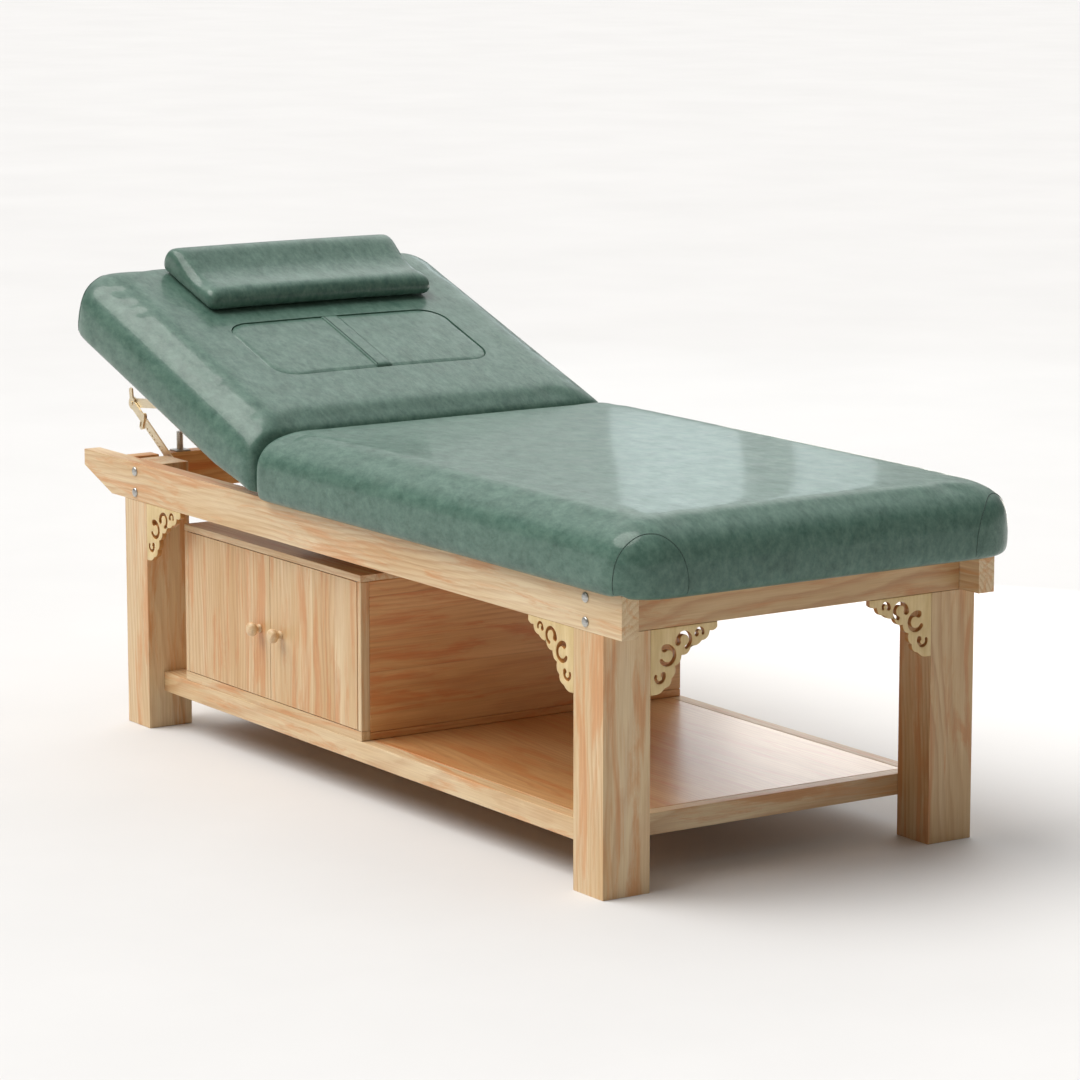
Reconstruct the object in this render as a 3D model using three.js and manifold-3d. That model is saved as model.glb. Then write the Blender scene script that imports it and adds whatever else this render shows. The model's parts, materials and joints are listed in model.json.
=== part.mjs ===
// Wooden massage bed: a rail frame on four square legs, a fixed seat cushion, a tilting back rest held by two
// ratchet stays, a loose pillow, a lift-out face insert, and a storage cupboard standing on the lower shelf.
// Millimetres, +Z up, +X towards the foot end. The cupboard doors face -Y, the side called "near" below.
// The origin is on the floor under the middle of the bed.
import * as THREE from 'three';
import { mergeVertices } from 'three/addons/utils/BufferGeometryUtils.js';
import Module from 'manifold-3d';

// ---- driving dimensions ---------------------------------------------------------------------------------------
const GAP = 0.3; // joint gap left between touching pieces
const SIDES = { near: -1, far: 1 };

const RAIL = { head: -940, foot: 882, bottom: 435, top: 507, thick: 33, bevelRun: 110, bevelRise: 41 };
const FRAME_HALF = 380; // outer faces of legs and long rails
const RAIL_INNER = FRAME_HALF - RAIL.thick;
const LEG = { headX: -777, footX: 831, wide: 85, deep: 92 };
const LEG_INNER_Y = FRAME_HALF - LEG.deep;
const HEAD_RAIL = { x: [-833, -800] };
const HINGE_RAIL = { x: [-290, -216], bottom: 440, top: 504.6 };
const STAY_NOTCH = { y: [266, 292], bottom: 464 };

const SHELF = { half: 348, thick: 28, bottom: 70, top: 107, board: 15 };
const SHELF_X = [LEG.headX + LEG.wide + GAP, LEG.footX - LEG.wide - GAP];

const FRET = { wide: 132, high: 108, thick: 10 };

const CUPBOARD = { x: [-605, 31], front: -347, back: 343, panel: 15, frame: 18, stile: 12, sill: 17 };
const CUPBOARD_Z = { floor: SHELF.top + GAP, base: 121, top: 393, lid: 405 };
const DOOR = { gap: 1.5, split: -287, pinInset: [4.5, 3.5], pinRadius: 2, pinLength: 18 };
const KNOB = { fromSplit: 38, z: 252, radius: 13.5, reach: 25 };

const PAD = { half: 400, bottom: 508, top: 628, round: 30, corner: 80, head: 730 };
const SEAT = { x: [-249.5, 940] };
const BOARD = { half: 368, bottom: 507.3, top: 519, inset: 18, corner: 70, hingeCorner: 2 };
const HINGE = { x: -253, z: 510, radius: 4, y: 250, leafWide: 70, leafLong: 42, leafThick: 1.7 };
const REST_ANGLE = THREE.MathUtils.degToRad(19);
const CREASE_ANGLE = THREE.MathUtils.degToRad(49); // the back pad's rigid foam leans back this far at its hinge end

const INSERT = { s: [216, 440], y: [-246, 226], corner: 48, deep: 50 };
const FACE_HOLE = { s: 328, y: -10, long: 104, wide: 78 };
const STRAP = { y: [-35, -1], thick: 2.5 };
const PILLOW = { s: [497, 705], y: [-248, 240], round: 14 };

// The stay pivots in a side view: distance from the back rest's hinge towards the head end, and height above it.
const STAY = {
  y: 280, foot: [480, -35], upper: [380, -14], knee: [671.6, 79.8], barHalf: 9, bar: 3, pin: 4, boss: 12, slot: [-14, 29],
};
const HOOK_POCKET = { s: [672, 724], y: [265, 294], depth: 22 };
const BOLT_Z = [450, 490];
const BOLT = { radius: 4.5, headRadius: 8, headHigh: 3.5, plate: 3, reach: 16 };
const POST = { x: -816, y: -238, radius: 6.5, high: 38, flange: 15, flangeThick: 2.5, pocket: 13 };

// ---- materials ------------------------------------------------------------------------------------------------
function paint(color, roughness, metalness) {
  return () => new THREE.MeshStandardMaterial({ color, roughness, metalness });
}
const PINE = paint(0xdcb88c, 0.55, 0);
const PLYWOOD = paint(0xc9a06c, 0.7, 0);
const FRETWORK = paint(0xdcc084, 0.45, 0);
const LEATHER = paint(0x6e9184, 0.42, 0);
const STEEL = paint(0x9a9a98, 0.35, 0.9);
const ZINC = paint(0xcdb893, 0.4, 0.8);

const bed = new THREE.Group();

function piece(parent, name, geometry, material) {
  const mesh = new THREE.Mesh(geometry, material());
  mesh.name = name;
  parent.add(mesh);
  return mesh;
}

// ---- solids ---------------------------------------------------------------------------------------------------
const wasm = await Module();
wasm.setup();

function solid(geometry) {
  const bare = geometry.clone();
  bare.deleteAttribute('normal');
  bare.deleteAttribute('uv');
  const merged = mergeVertices(bare, 1e-4);
  const vertProperties = new Float32Array(merged.attributes.position.array);
  const triVerts = new Uint32Array(merged.index.array);
  return new wasm.Manifold(new wasm.Mesh({ numProp: 3, vertProperties, triVerts }));
}

function faceted(manifold) {
  const mesh = manifold.getMesh();
  const geometry = new THREE.BufferGeometry();
  geometry.setAttribute('position', new THREE.BufferAttribute(mesh.vertProperties, 3));
  geometry.setIndex(new THREE.BufferAttribute(mesh.triVerts, 1));
  geometry.computeVertexNormals();
  return geometry;
}

function join(...geometries) {
  return faceted(geometries.map(solid).reduce((whole, next) => whole.add(next)));
}

function cut(geometry, ...tools) {
  return faceted(tools.map(solid).reduce((whole, tool) => whole.subtract(tool), solid(geometry)));
}

function block([x0, x1], [y0, y1], [z0, z1]) {
  const box = new THREE.BoxGeometry(Math.abs(x1 - x0), Math.abs(y1 - y0), Math.abs(z1 - z0));
  return box.translate((x0 + x1) / 2, (y0 + y1) / 2, (z0 + z1) / 2);
}

// A round bar along Y ("y") or Z ("z"); at gives its two other coordinates, in X, Y, Z order.
function rod(axis, radius, [from, to], at, segments = 20) {
  const bar = new THREE.CylinderGeometry(radius, radius, Math.abs(to - from), segments);
  const middle = (from + to) / 2;
  return axis === 'y' ? bar.translate(at[0], middle, at[1]) : bar.rotateX(Math.PI / 2).translate(at[0], at[1], middle);
}

// An outline in X and Z, extruded along Y.
function plate(shape, [y0, y1], options = {}) {
  const depth = Math.abs(y1 - y0);
  const slab = new THREE.ExtrudeGeometry(shape, { depth, bevelEnabled: false, curveSegments: 6, ...options });
  return slab.rotateX(Math.PI / 2).translate(0, Math.max(y0, y1), 0);
}

function polygon(points) {
  return new THREE.Shape(points.map(([x, z]) => new THREE.Vector2(x, z)));
}

// A plan outline with its own radius at the low-X and the high-X corners.
function roundedPlan([x0, x1], [y0, y1], lowRadius, highRadius) {
  const shape = new THREE.Shape();
  shape.absarc(x1 - highRadius, y1 - highRadius, highRadius, 0, Math.PI / 2);
  shape.absarc(x0 + lowRadius, y1 - lowRadius, lowRadius, Math.PI / 2, Math.PI);
  shape.absarc(x0 + lowRadius, y0 + lowRadius, lowRadius, Math.PI, 1.5 * Math.PI);
  shape.absarc(x1 - highRadius, y0 + highRadius, highRadius, 1.5 * Math.PI, 2 * Math.PI);
  return shape;
}

// A flat slab over a plan outline.
function slab(plan, [low, high], curveSegments = 5) {
  return new THREE.ExtrudeGeometry(plan, { depth: high - low, bevelEnabled: false, curveSegments }).translate(0, 0, low);
}

// A cushion block over a plan outline, with its top and bottom edges rounded by round.
function cushion([x0, x1], half, [z0, z1], round, lowRadius, highRadius) {
  const across = [round - half, half - round];
  const plan = roundedPlan([x0 + round, x1 - round], across, lowRadius, highRadius);
  const rounding = { bevelEnabled: true, bevelSize: round, bevelThickness: round, bevelSegments: 3, curveSegments: 5 };
  const body = new THREE.ExtrudeGeometry(plan, { depth: z1 - z0 - 2 * round, ...rounding });
  return body.translate(0, 0, z0 + round);
}

const mirrored = ([a, b], side) => [side * a, side * b];

// ---- frame: legs, long rails and cross rails -------------------------------------------------------------------
function boltHoles(x, side) {
  const through = mirrored([LEG_INNER_Y - 10, FRAME_HALF + 10], side);
  return BOLT_Z.map((z) => rod('y', BOLT.radius + GAP, through, [x, z], 12));
}

const legMiddle = {
  head: LEG.headX + LEG.wide / 2,
  foot: LEG.footX - LEG.wide / 2 - 8,
};

// The long rail lies in a rebate across the outside of each leg, and the foot rail in one across its end.
function leg(end, side) {
  const x = end === 'head' ? [LEG.headX, LEG.headX + LEG.wide] : [LEG.footX - LEG.wide, LEG.footX];
  const tongueX = end === 'head' ? x : [x[0], x[1] - RAIL.thick - GAP];
  const post = block(x, mirrored([LEG_INNER_Y, FRAME_HALF], side), [0, RAIL.bottom - GAP]);
  const tongue = block(tongueX, mirrored([LEG_INNER_Y, RAIL_INNER - GAP], side), [RAIL.bottom - 40, RAIL.top]);
  return cut(join(post, tongue), ...boltHoles(legMiddle[end], side));
}

function longRail(side) {
  const outline = polygon([
    [RAIL.head, RAIL.top],
    [RAIL.head, RAIL.bottom + RAIL.bevelRise],
    [RAIL.head + RAIL.bevelRun, RAIL.bottom],
    [RAIL.foot, RAIL.bottom],
    [RAIL.foot, RAIL.top],
  ]);
  const rail = plate(outline, mirrored([RAIL_INNER, FRAME_HALF], side));
  return cut(rail, ...boltHoles(legMiddle.head, side), ...boltHoles(legMiddle.foot, side));
}

function addFrame() {
  for (const [where, side] of Object.entries(SIDES)) {
    piece(bed, `leg_head_${where}`, leg('head', side), PINE);
    piece(bed, `leg_foot_${where}`, leg('foot', side), PINE);
    piece(bed, `long_rail_${where}`, longRail(side), PINE);
  }
  const across = [-(RAIL_INNER - GAP), RAIL_INNER - GAP];
  const height = [RAIL.bottom, RAIL.top];
  piece(bed, 'foot_rail', block([LEG.footX - RAIL.thick, LEG.footX], across, height), PINE);
  const notches = Object.values(SIDES).map((side) =>
    block([HEAD_RAIL.x[0] - 5, HEAD_RAIL.x[1] + 5], mirrored(STAY_NOTCH.y, side), [STAY_NOTCH.bottom, RAIL.top + 5]));
  piece(bed, 'head_rail', cut(block(HEAD_RAIL.x, across, height), ...notches), PINE);
  piece(bed, 'hinge_rail', block(HINGE_RAIL.x, across, [HINGE_RAIL.bottom, HINGE_RAIL.top]), PINE);
}

// ---- lower shelf ------------------------------------------------------------------------------------------------
function addShelf() {
  const inner = SHELF.half - SHELF.thick;
  for (const [where, side] of Object.entries(SIDES)) {
    const y = mirrored([inner, SHELF.half], side);
    piece(bed, `shelf_rail_${where}`, block(SHELF_X, y, [SHELF.bottom, SHELF.top]), PINE);
  }
  const across = [-(inner - GAP), inner - GAP];
  const ends = { head: [SHELF_X[0], SHELF_X[0] + SHELF.thick], foot: [SHELF_X[1] - SHELF.thick, SHELF_X[1]] };
  for (const [end, x] of Object.entries(ends)) {
    piece(bed, `shelf_end_rail_${end}`, block(x, across, [SHELF.bottom, SHELF.top]), PINE);
  }
  const x = [ends.head[1] + GAP, ends.foot[0] - GAP];
  piece(bed, 'shelf_board', block(x, across, [SHELF.top - SHELF.board, SHELF.top]), PINE);
}

// ---- fretwork corner brackets -------------------------------------------------------------------------------------
// Drawn with the corner at the origin: +X runs out along the rail, -Z runs down the leg.
function fretOutline() {
  const shape = new THREE.Shape();
  shape.moveTo(0, 0);
  shape.lineTo(FRET.wide, 0);
  shape.lineTo(FRET.wide, -9);
  shape.quadraticCurveTo(125, -16, 117, -13);
  shape.quadraticCurveTo(115, -28, 101, -28);
  shape.quadraticCurveTo(92, -38, 80, -34);
  shape.quadraticCurveTo(76, -50, 61, -48);
  shape.quadraticCurveTo(60, -62, 48, -64);
  shape.quadraticCurveTo(52, -78, 41, -84);
  shape.quadraticCurveTo(42, -97, 28, -99);
  shape.quadraticCurveTo(20, -108, 10, -FRET.high);
  shape.lineTo(0, -FRET.high);
  return shape;
}

// A C-shaped slot ending in a round eye, cut right through the plate.
function scroll({ at, radius, slot, from, sweep }) {
  const to = from + sweep;
  const point = (angle) => [at[0] + radius * Math.cos(angle), at[1] + radius * Math.sin(angle)];
  const shape = new THREE.Shape();
  shape.absarc(at[0], at[1], radius + slot / 2, from, to, false);
  shape.absarc(...point(to), slot / 2, to, to + Math.PI, false);
  shape.absarc(at[0], at[1], radius - slot / 2, to, from, true);
  shape.absarc(...point(from), slot / 2, from + Math.PI, from + 2 * Math.PI, false);
  const through = [-5, FRET.thick + 5];
  return [plate(shape, through, { curveSegments: 4 }), rod('y', slot * 0.95, through, point(to), 8)];
}

const SCROLLS = [
  { at: [97, -13], radius: 6, slot: 4, from: -0.4, sweep: 3.9 },
  { at: [67, -21], radius: 10.5, slot: 5.5, from: -1.2, sweep: 4.3 },
  { at: [30, -43], radius: 12.5, slot: 6, from: -2.6, sweep: 4.4 },
  { at: [19, -77], radius: 8, slot: 5, from: -3.5, sweep: 4.0 },
];

function fretPlate() {
  return cut(plate(fretOutline(), [0, FRET.thick], { curveSegments: 3 }), ...SCROLLS.flatMap(scroll));
}

// side: near or far; along: +1 where the plate runs towards +X from its leg, -1 towards -X.
function sideFret(side, along, cornerX) {
  const geometry = fretPlate();
  const turn = new THREE.Matrix4().makeRotationZ(along > 0 ? 0 : Math.PI);
  const shift = side > 0 === along > 0 ? FRET.thick : 0;
  geometry.applyMatrix4(turn);
  const y = side * FRAME_HALF - (along > 0 ? shift : -shift);
  return geometry.translate(cornerX, y, RAIL.bottom - GAP);
}

function endFret(side) {
  const geometry = fretPlate().rotateZ(side < 0 ? Math.PI / 2 : -Math.PI / 2);
  const x = side < 0 ? LEG.footX : LEG.footX - FRET.thick;
  return geometry.translate(x, side * (LEG_INNER_Y - GAP), RAIL.bottom - GAP);
}

function addFrets() {
  for (const [where, side] of Object.entries(SIDES)) {
    const headX = LEG.headX + LEG.wide + GAP;
    const footX = LEG.footX - LEG.wide - GAP;
    piece(bed, `fret_side_head_${where}`, sideFret(side, 1, headX), FRETWORK);
    piece(bed, `fret_side_foot_${where}`, sideFret(side, -1, footX), FRETWORK);
    piece(bed, `fret_end_foot_${where}`, endFret(side), FRETWORK);
  }
}

// ---- cupboard -------------------------------------------------------------------------------------------------------
const DOOR_Y = [CUPBOARD.front, CUPBOARD.front + CUPBOARD.frame];
const DOOR_Z = [CUPBOARD_Z.floor + CUPBOARD.sill + DOOR.gap, CUPBOARD_Z.top - DOOR.gap];
const DOOR_X = {
  left: [CUPBOARD.x[0] + CUPBOARD.stile + DOOR.gap, DOOR.split - DOOR.gap / 2],
  right: [DOOR.split + DOOR.gap / 2, CUPBOARD.x[1] - CUPBOARD.stile - DOOR.gap],
};
const PIN_AT = {
  left: [DOOR_X.left[0] + DOOR.pinInset[0], CUPBOARD.front + DOOR.pinInset[1]],
  right: [DOOR_X.right[1] - DOOR.pinInset[0], CUPBOARD.front + DOOR.pinInset[1]],
};
// A pin is half in the door and half in the sill or the lid.
const PIN_Z = {
  lower: [DOOR_Z[0] - DOOR.pinLength / 2, DOOR_Z[0] + DOOR.pinLength / 2],
  upper: [DOOR_Z[1] - DOOR.pinLength / 2, DOOR_Z[1] + DOOR.pinLength / 2],
};

function pinHoles(hands, levels) {
  const longer = ([low, high]) => [low - GAP, high + GAP];
  const hole = (hand, level) => rod('z', DOOR.pinRadius + GAP, longer(PIN_Z[level]), PIN_AT[hand], 12);
  return hands.flatMap((hand) => levels.map((level) => hole(hand, level)));
}

function addCupboard() {
  const { x, front, back, panel, stile } = CUPBOARD;
  const hands = ['left', 'right'];
  const behind = DOOR_Y[1] + GAP;
  const walls = [CUPBOARD_Z.base + GAP, CUPBOARD_Z.top - GAP];

  piece(bed, 'cupboard_base', block(x, [behind, back], [CUPBOARD_Z.floor, CUPBOARD_Z.base]), PINE);
  piece(bed, 'cupboard_side_head', block([x[0], x[0] + panel], [behind, back], walls), PINE);
  piece(bed, 'cupboard_side_foot', block([x[1] - panel, x[1]], [behind, back], walls), PINE);
  const between = [x[0] + panel + GAP, x[1] - panel - GAP];
  piece(bed, 'cupboard_back', block(between, [back - panel, back], walls), PLYWOOD);
  const lid = block(x, [front, back], [CUPBOARD_Z.top, CUPBOARD_Z.lid]);
  piece(bed, 'cupboard_lid', cut(lid, ...pinHoles(hands, ['upper'])), PINE);

  const sillTop = CUPBOARD_Z.floor + CUPBOARD.sill;
  const stileZ = [sillTop + GAP, CUPBOARD_Z.top - GAP];
  const sill = block(x, DOOR_Y, [CUPBOARD_Z.floor, sillTop]);
  piece(bed, 'cupboard_sill', cut(sill, ...pinHoles(hands, ['lower'])), PINE);
  piece(bed, 'cupboard_stile_head', block([x[0], x[0] + stile], DOOR_Y, stileZ), PINE);
  piece(bed, 'cupboard_stile_foot', block([x[1] - stile, x[1]], DOOR_Y, stileZ), PINE);

  for (const hand of hands) {
    const door = block(DOOR_X[hand], DOOR_Y, DOOR_Z);
    piece(bed, `door_${hand}`, cut(door, ...pinHoles([hand], ['lower', 'upper'])), PINE);
    piece(bed, `knob_${hand}`, knob(hand), PINE);
    for (const level of ['lower', 'upper']) {
      piece(bed, `door_pin_${hand}_${level}`, rod('z', DOOR.pinRadius, PIN_Z[level], PIN_AT[hand], 12), STEEL);
    }
  }
}

// A turned mushroom knob, standing out from the door's front face.
function knob(hand) {
  const profile = new THREE.SplineCurve([
    [7.5, 0], [6, 4], [5.6, 9], [8, 12.5], [12.5, 15.5], [KNOB.radius, 19], [10.5, 23], [5, KNOB.reach - 0.4],
  ].map(([r, out]) => new THREE.Vector2(r, out)));
  const line = [new THREE.Vector2(0, 0), ...profile.getPoints(14), new THREE.Vector2(0, KNOB.reach)];
  const x = DOOR.split + (hand === 'left' ? -KNOB.fromSplit : KNOB.fromSplit);
  return new THREE.LatheGeometry(line, 18).rotateX(Math.PI).translate(x, CUPBOARD.front - GAP, KNOB.z);
}

// ---- seat: board and cushion ------------------------------------------------------------------------------------------
const RECESS = 0.4; // how far a cushion's recess is clear of the board in it

// A board's plan, square at its hinge end, and the plan of the recess for it, which is open at that end.
function boardPlan([x0, x1], lowCorner, highCorner) {
  return roundedPlan([x0, x1], [-BOARD.half, BOARD.half], lowCorner, highCorner);
}

function recessPlan([x0, x1], lowCorner, highCorner) {
  const half = BOARD.half + RECESS;
  return roundedPlan([x0, x1], [-half, half], lowCorner, highCorner);
}

function addSeat() {
  const boardX = [SEAT.x[0] + 2, SEAT.x[1] - BOARD.inset];
  const board = slab(boardPlan(boardX, BOARD.hingeCorner, BOARD.corner), [BOARD.bottom, BOARD.top]);
  piece(bed, 'seat_board', board, PLYWOOD);
  const pad = cushion(SEAT.x, PAD.half, [PAD.bottom, PAD.top], PAD.round, 4, PAD.corner - PAD.round);
  const recess = recessPlan([SEAT.x[0] - 40, boardX[1] + RECESS], BOARD.hingeCorner, BOARD.corner);
  piece(bed, 'seat_cushion', cut(pad, slab(recess, [PAD.bottom - 5, BOARD.top + GAP])), LEATHER);
}

// ---- back rest: everything here is drawn lying flat from the hinge line towards -X, then tilted ------------------------
const backrest = new THREE.Group();
backrest.position.set(HINGE.x, 0, HINGE.z);
backrest.rotation.y = REST_ANGLE;
bed.add(backrest);

const PAD_LOW = PAD.bottom - HINGE.z;
const PAD_HIGH = PAD.top - HINGE.z;
const BOARD_Z = [BOARD.bottom - HINGE.z, BOARD.top - HINGE.z];
const CREASE_FOOT = 12; // where the leaning end of the rigid foam meets the hinge line
const creaseAt = (z) => CREASE_FOOT + z * Math.tan(CREASE_ANGLE);

function faceHole(span) {
  const oval = new THREE.Shape();
  oval.absellipse(-FACE_HOLE.s, FACE_HOLE.y, FACE_HOLE.wide, FACE_HOLE.long, 0, 2 * Math.PI);
  return slab(oval, span, 20);
}

function insertPlan(clearance) {
  const { s, y, corner } = INSERT;
  const along = [-s[1] - clearance, -s[0] + clearance];
  return roundedPlan(along, [y[0] - clearance, y[1] + clearance], corner, corner);
}

function postHole(half, [low, high]) {
  const s = HINGE.x - POST.x;
  return block([-s - half, -s + half], [POST.y - half, POST.y + half], [low, high]);
}

// Room under the head end for the hooked end of each stay when the back rest lies flat.
function hookPockets([low, high]) {
  const { s, y } = HOOK_POCKET;
  return Object.values(SIDES).map((side) => block([-s[1], -s[0]], mirrored(y, side), [low, high]));
}

function addBackrest() {
  const boardX = [-(PAD.head - BOARD.inset), -9];
  const board = slab(boardPlan(boardX, BOARD.corner, BOARD.hingeCorner), BOARD_Z);
  const holes = [faceHole([-20, 40]), postHole(POST.flange + 4, [-20, 40]), ...hookPockets([-20, 40])];
  piece(backrest, 'backrest_board', cut(board, ...holes), PLYWOOD);

  const whole = cushion([-PAD.head, 0], PAD.half, [PAD_LOW, PAD_HIGH], PAD.round, PAD.corner - PAD.round, 4);
  const crease = polygon([
    [-CREASE_FOOT, -60],
    [-CREASE_FOOT, 0],
    [-creaseAt(PAD_HIGH + 40), PAD_HIGH + 40],
    [60, PAD_HIGH + 40],
    [60, -60],
  ]);
  const floor = PAD_HIGH - INSERT.deep - GAP;
  const recess = recessPlan([boardX[0] - RECESS, 20], BOARD.corner, BOARD.hingeCorner);
  const tools = [
    plate(crease, [-PAD.half - 20, PAD.half + 20]),
    slab(recess, [PAD_LOW - 5, BOARD_Z[1] + GAP]),
    slab(insertPlan(GAP), [floor, floor + 90]),
    faceHole([-20, PAD_HIGH]),
    postHole(POST.pocket, [-20, POST.high + 8]),
    ...hookPockets([-20, HOOK_POCKET.depth]),
  ];
  piece(backrest, 'backrest_cushion', cut(whole, ...tools), LEATHER);
  piece(backrest, 'backrest_crease_foam', creaseFoam(), LEATHER);

  const plan = insertPlan(-GAP);
  const options = { depth: INSERT.deep - 3, bevelEnabled: true, bevelSize: 3, bevelThickness: 3, bevelSegments: 1 };
  const insert = new THREE.ExtrudeGeometry(plan, { ...options, bevelOffset: -3, curveSegments: 5 });
  const flatBottomed = cut(insert, block([-900, 0], [-500, 500], [-20, 0]));
  piece(backrest, 'face_insert', flatBottomed.translate(0, 0, PAD_HIGH - INSERT.deep), LEATHER);
  const strapX = [-(INSERT.s[1] - 6), -(INSERT.s[0] + 6)];
  const strapZ = [PAD_HIGH + GAP, PAD_HIGH + GAP + STRAP.thick];
  piece(backrest, 'insert_strap', block(strapX, STRAP.y, strapZ), LEATHER);
  piece(backrest, 'pillow', pillow(), LEATHER);
}

// The soft wedge between the rigid foam and the seat cushion, which is squashed as the back rest rises.
function creaseFoam() {
  const low = BOARD_Z[1] + 0.6;
  const seatFace = SEAT.x[0] - HINGE.x - 0.6;
  const atSeat = (z) => (z * Math.sin(REST_ANGLE) - seatFace) / Math.cos(REST_ANGLE);
  const outline = polygon([
    [-Math.max(atSeat(low), 1.5), low],
    [-(creaseAt(low) - 0.6), low],
    [-(creaseAt(PAD_HIGH) - 0.6), PAD_HIGH],
    [-atSeat(PAD_HIGH), PAD_HIGH],
  ]);
  return plate(outline, [-(PAD.half - 4), PAD.half - 4]);
}

// A contoured neck pillow: a high roll at the head side, a dip, and a lower roll at the neck side.
function pillow() {
  const [front, back] = PILLOW.s;
  const r = PILLOW.round;
  const base = PAD_HIGH + 0.5 + r;
  const outline = new THREE.Shape();
  outline.moveTo(-front - r, base);
  outline.bezierCurveTo(-front - r - 2, base + 12, -front - 34, base + 12, -front - 52, base + 9);
  outline.bezierCurveTo(-front - 92, base + 3, -back + 78, base + 29, -back + 38, base + 29);
  outline.quadraticCurveTo(-back + r, base + 29, -back + r, base + 12);
  outline.lineTo(-back + r + 3, base);
  outline.closePath();
  const rounding = { bevelEnabled: true, bevelSize: r, bevelThickness: r, bevelSegments: 3, curveSegments: 7 };
  return plate(outline, [PILLOW.y[0] + r, PILLOW.y[1] - r], rounding);
}

// ---- back rest hinges ---------------------------------------------------------------------------------------------------
// A butt hinge: two outer knuckles on the fixed leaf, which carries the pin, and a middle knuckle on the moving leaf.
function addHinges() {
  const { radius, leafWide, leafLong, leafThick } = HINGE;
  const third = leafWide / 3;
  for (const [where, side] of Object.entries(SIDES)) {
    const y = side * HINGE.y;
    const outer = [[y - leafWide / 2, y - third / 2 - GAP], [y + third / 2 + GAP, y + leafWide / 2]];
    const middle = [y - third / 2, y + third / 2];
    const knuckles = outer.map((span) => rod('y', radius, span, [HINGE.x, HINGE.z], 16));
    const bottom = HINGE_RAIL.top + GAP;
    const leafZ = [bottom, bottom + leafThick];
    const tongues = outer.map((span) => block([HINGE.x, HINGE.x + 12], span, [bottom, HINGE.z - 1]));
    const trimmed = tongues.map((tongue) => cut(tongue, block([HINGE.x + 3.4, HINGE.x + 20], [-999, 999], [leafZ[1], 600])));
    const leaf = block([HINGE.x + 6, HINGE.x + leafLong], [outer[0][0], outer[1][1]], leafZ);
    const pin = rod('y', radius / 2, [outer[0][1] - 1, outer[1][0] + 1], [HINGE.x, HINGE.z], 12);
    piece(bed, `hinge_fixed_leaf_${where}`, join(leaf, ...trimmed, ...knuckles, pin), STEEL);

    const drop = BOARD_Z[0] - GAP;
    const moving = join(
      block([-leafLong, -7], [y - leafWide / 2, y + leafWide / 2], [drop - 1.2, drop]),
      block([-8.5, 0], middle, [drop - 1.2, drop + 0.6]),
      rod('y', radius - 0.2, middle, [0, 0], 16),
    );
    const bore = rod('y', radius / 2 + GAP, [middle[0] - 5, middle[1] + 5], [0, 0], 12);
    piece(backrest, `hinge_moving_leaf_${where}`, cut(moving, bore), STEEL);
  }
}

// ---- ratchet stays ----------------------------------------------------------------------------------------------------------
const stayPoint = ([s, z]) => new THREE.Vector2(HINGE.x - s, HINGE.z + z);

// A flat bar between two round ends, as an outline in X and Z.
function barOutline(from, to, half) {
  const angle = Math.atan2(to.y - from.y, to.x - from.x);
  const shape = new THREE.Shape();
  shape.absarc(to.x, to.y, half, angle - Math.PI / 2, angle + Math.PI / 2);
  shape.absarc(from.x, from.y, half, angle + Math.PI / 2, angle + 1.5 * Math.PI);
  return shape;
}

// Plates of a stay lie side by side: each span is measured across the bed from the leg's inner face.
const STAY_Y = {
  anchor: [LEG_INNER_Y, LEG_INNER_Y - BOLT.plate],
  lower: [STAY.y + 3.5, STAY.y + 0.5],
  upper: [STAY.y - 0.5, STAY.y - 3.5],
  bracket: [STAY.y - 4.5, STAY.y - 7.5],
};

// The two rail bolts of a leg, with the steel plate that they draw up against its inner face.
function boltPair(x, side) {
  const heads = BOLT_Z.map((z) => {
    const head = new THREE.CylinderGeometry(BOLT.headRadius * 0.55, BOLT.headRadius, BOLT.headHigh, 16);
    return head.rotateX(side > 0 ? 0 : Math.PI).translate(x, side * (FRAME_HALF + GAP + BOLT.headHigh / 2), z);
  });
  const shanks = BOLT_Z.map((z) => {
    const span = mirrored([LEG_INNER_Y - BOLT.plate + 1, FRAME_HALF + GAP + 1], side);
    return rod('y', BOLT.radius, span, [x, z], 12);
  });
  const backing = block(
    [x - BOLT.reach, x + BOLT.reach],
    mirrored([LEG_INNER_Y - GAP, LEG_INNER_Y - BOLT.plate], side),
    [BOLT_Z[0] - 15, BOLT_Z[1] + 14],
  );
  return [...heads, ...shanks, backing];
}

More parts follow.
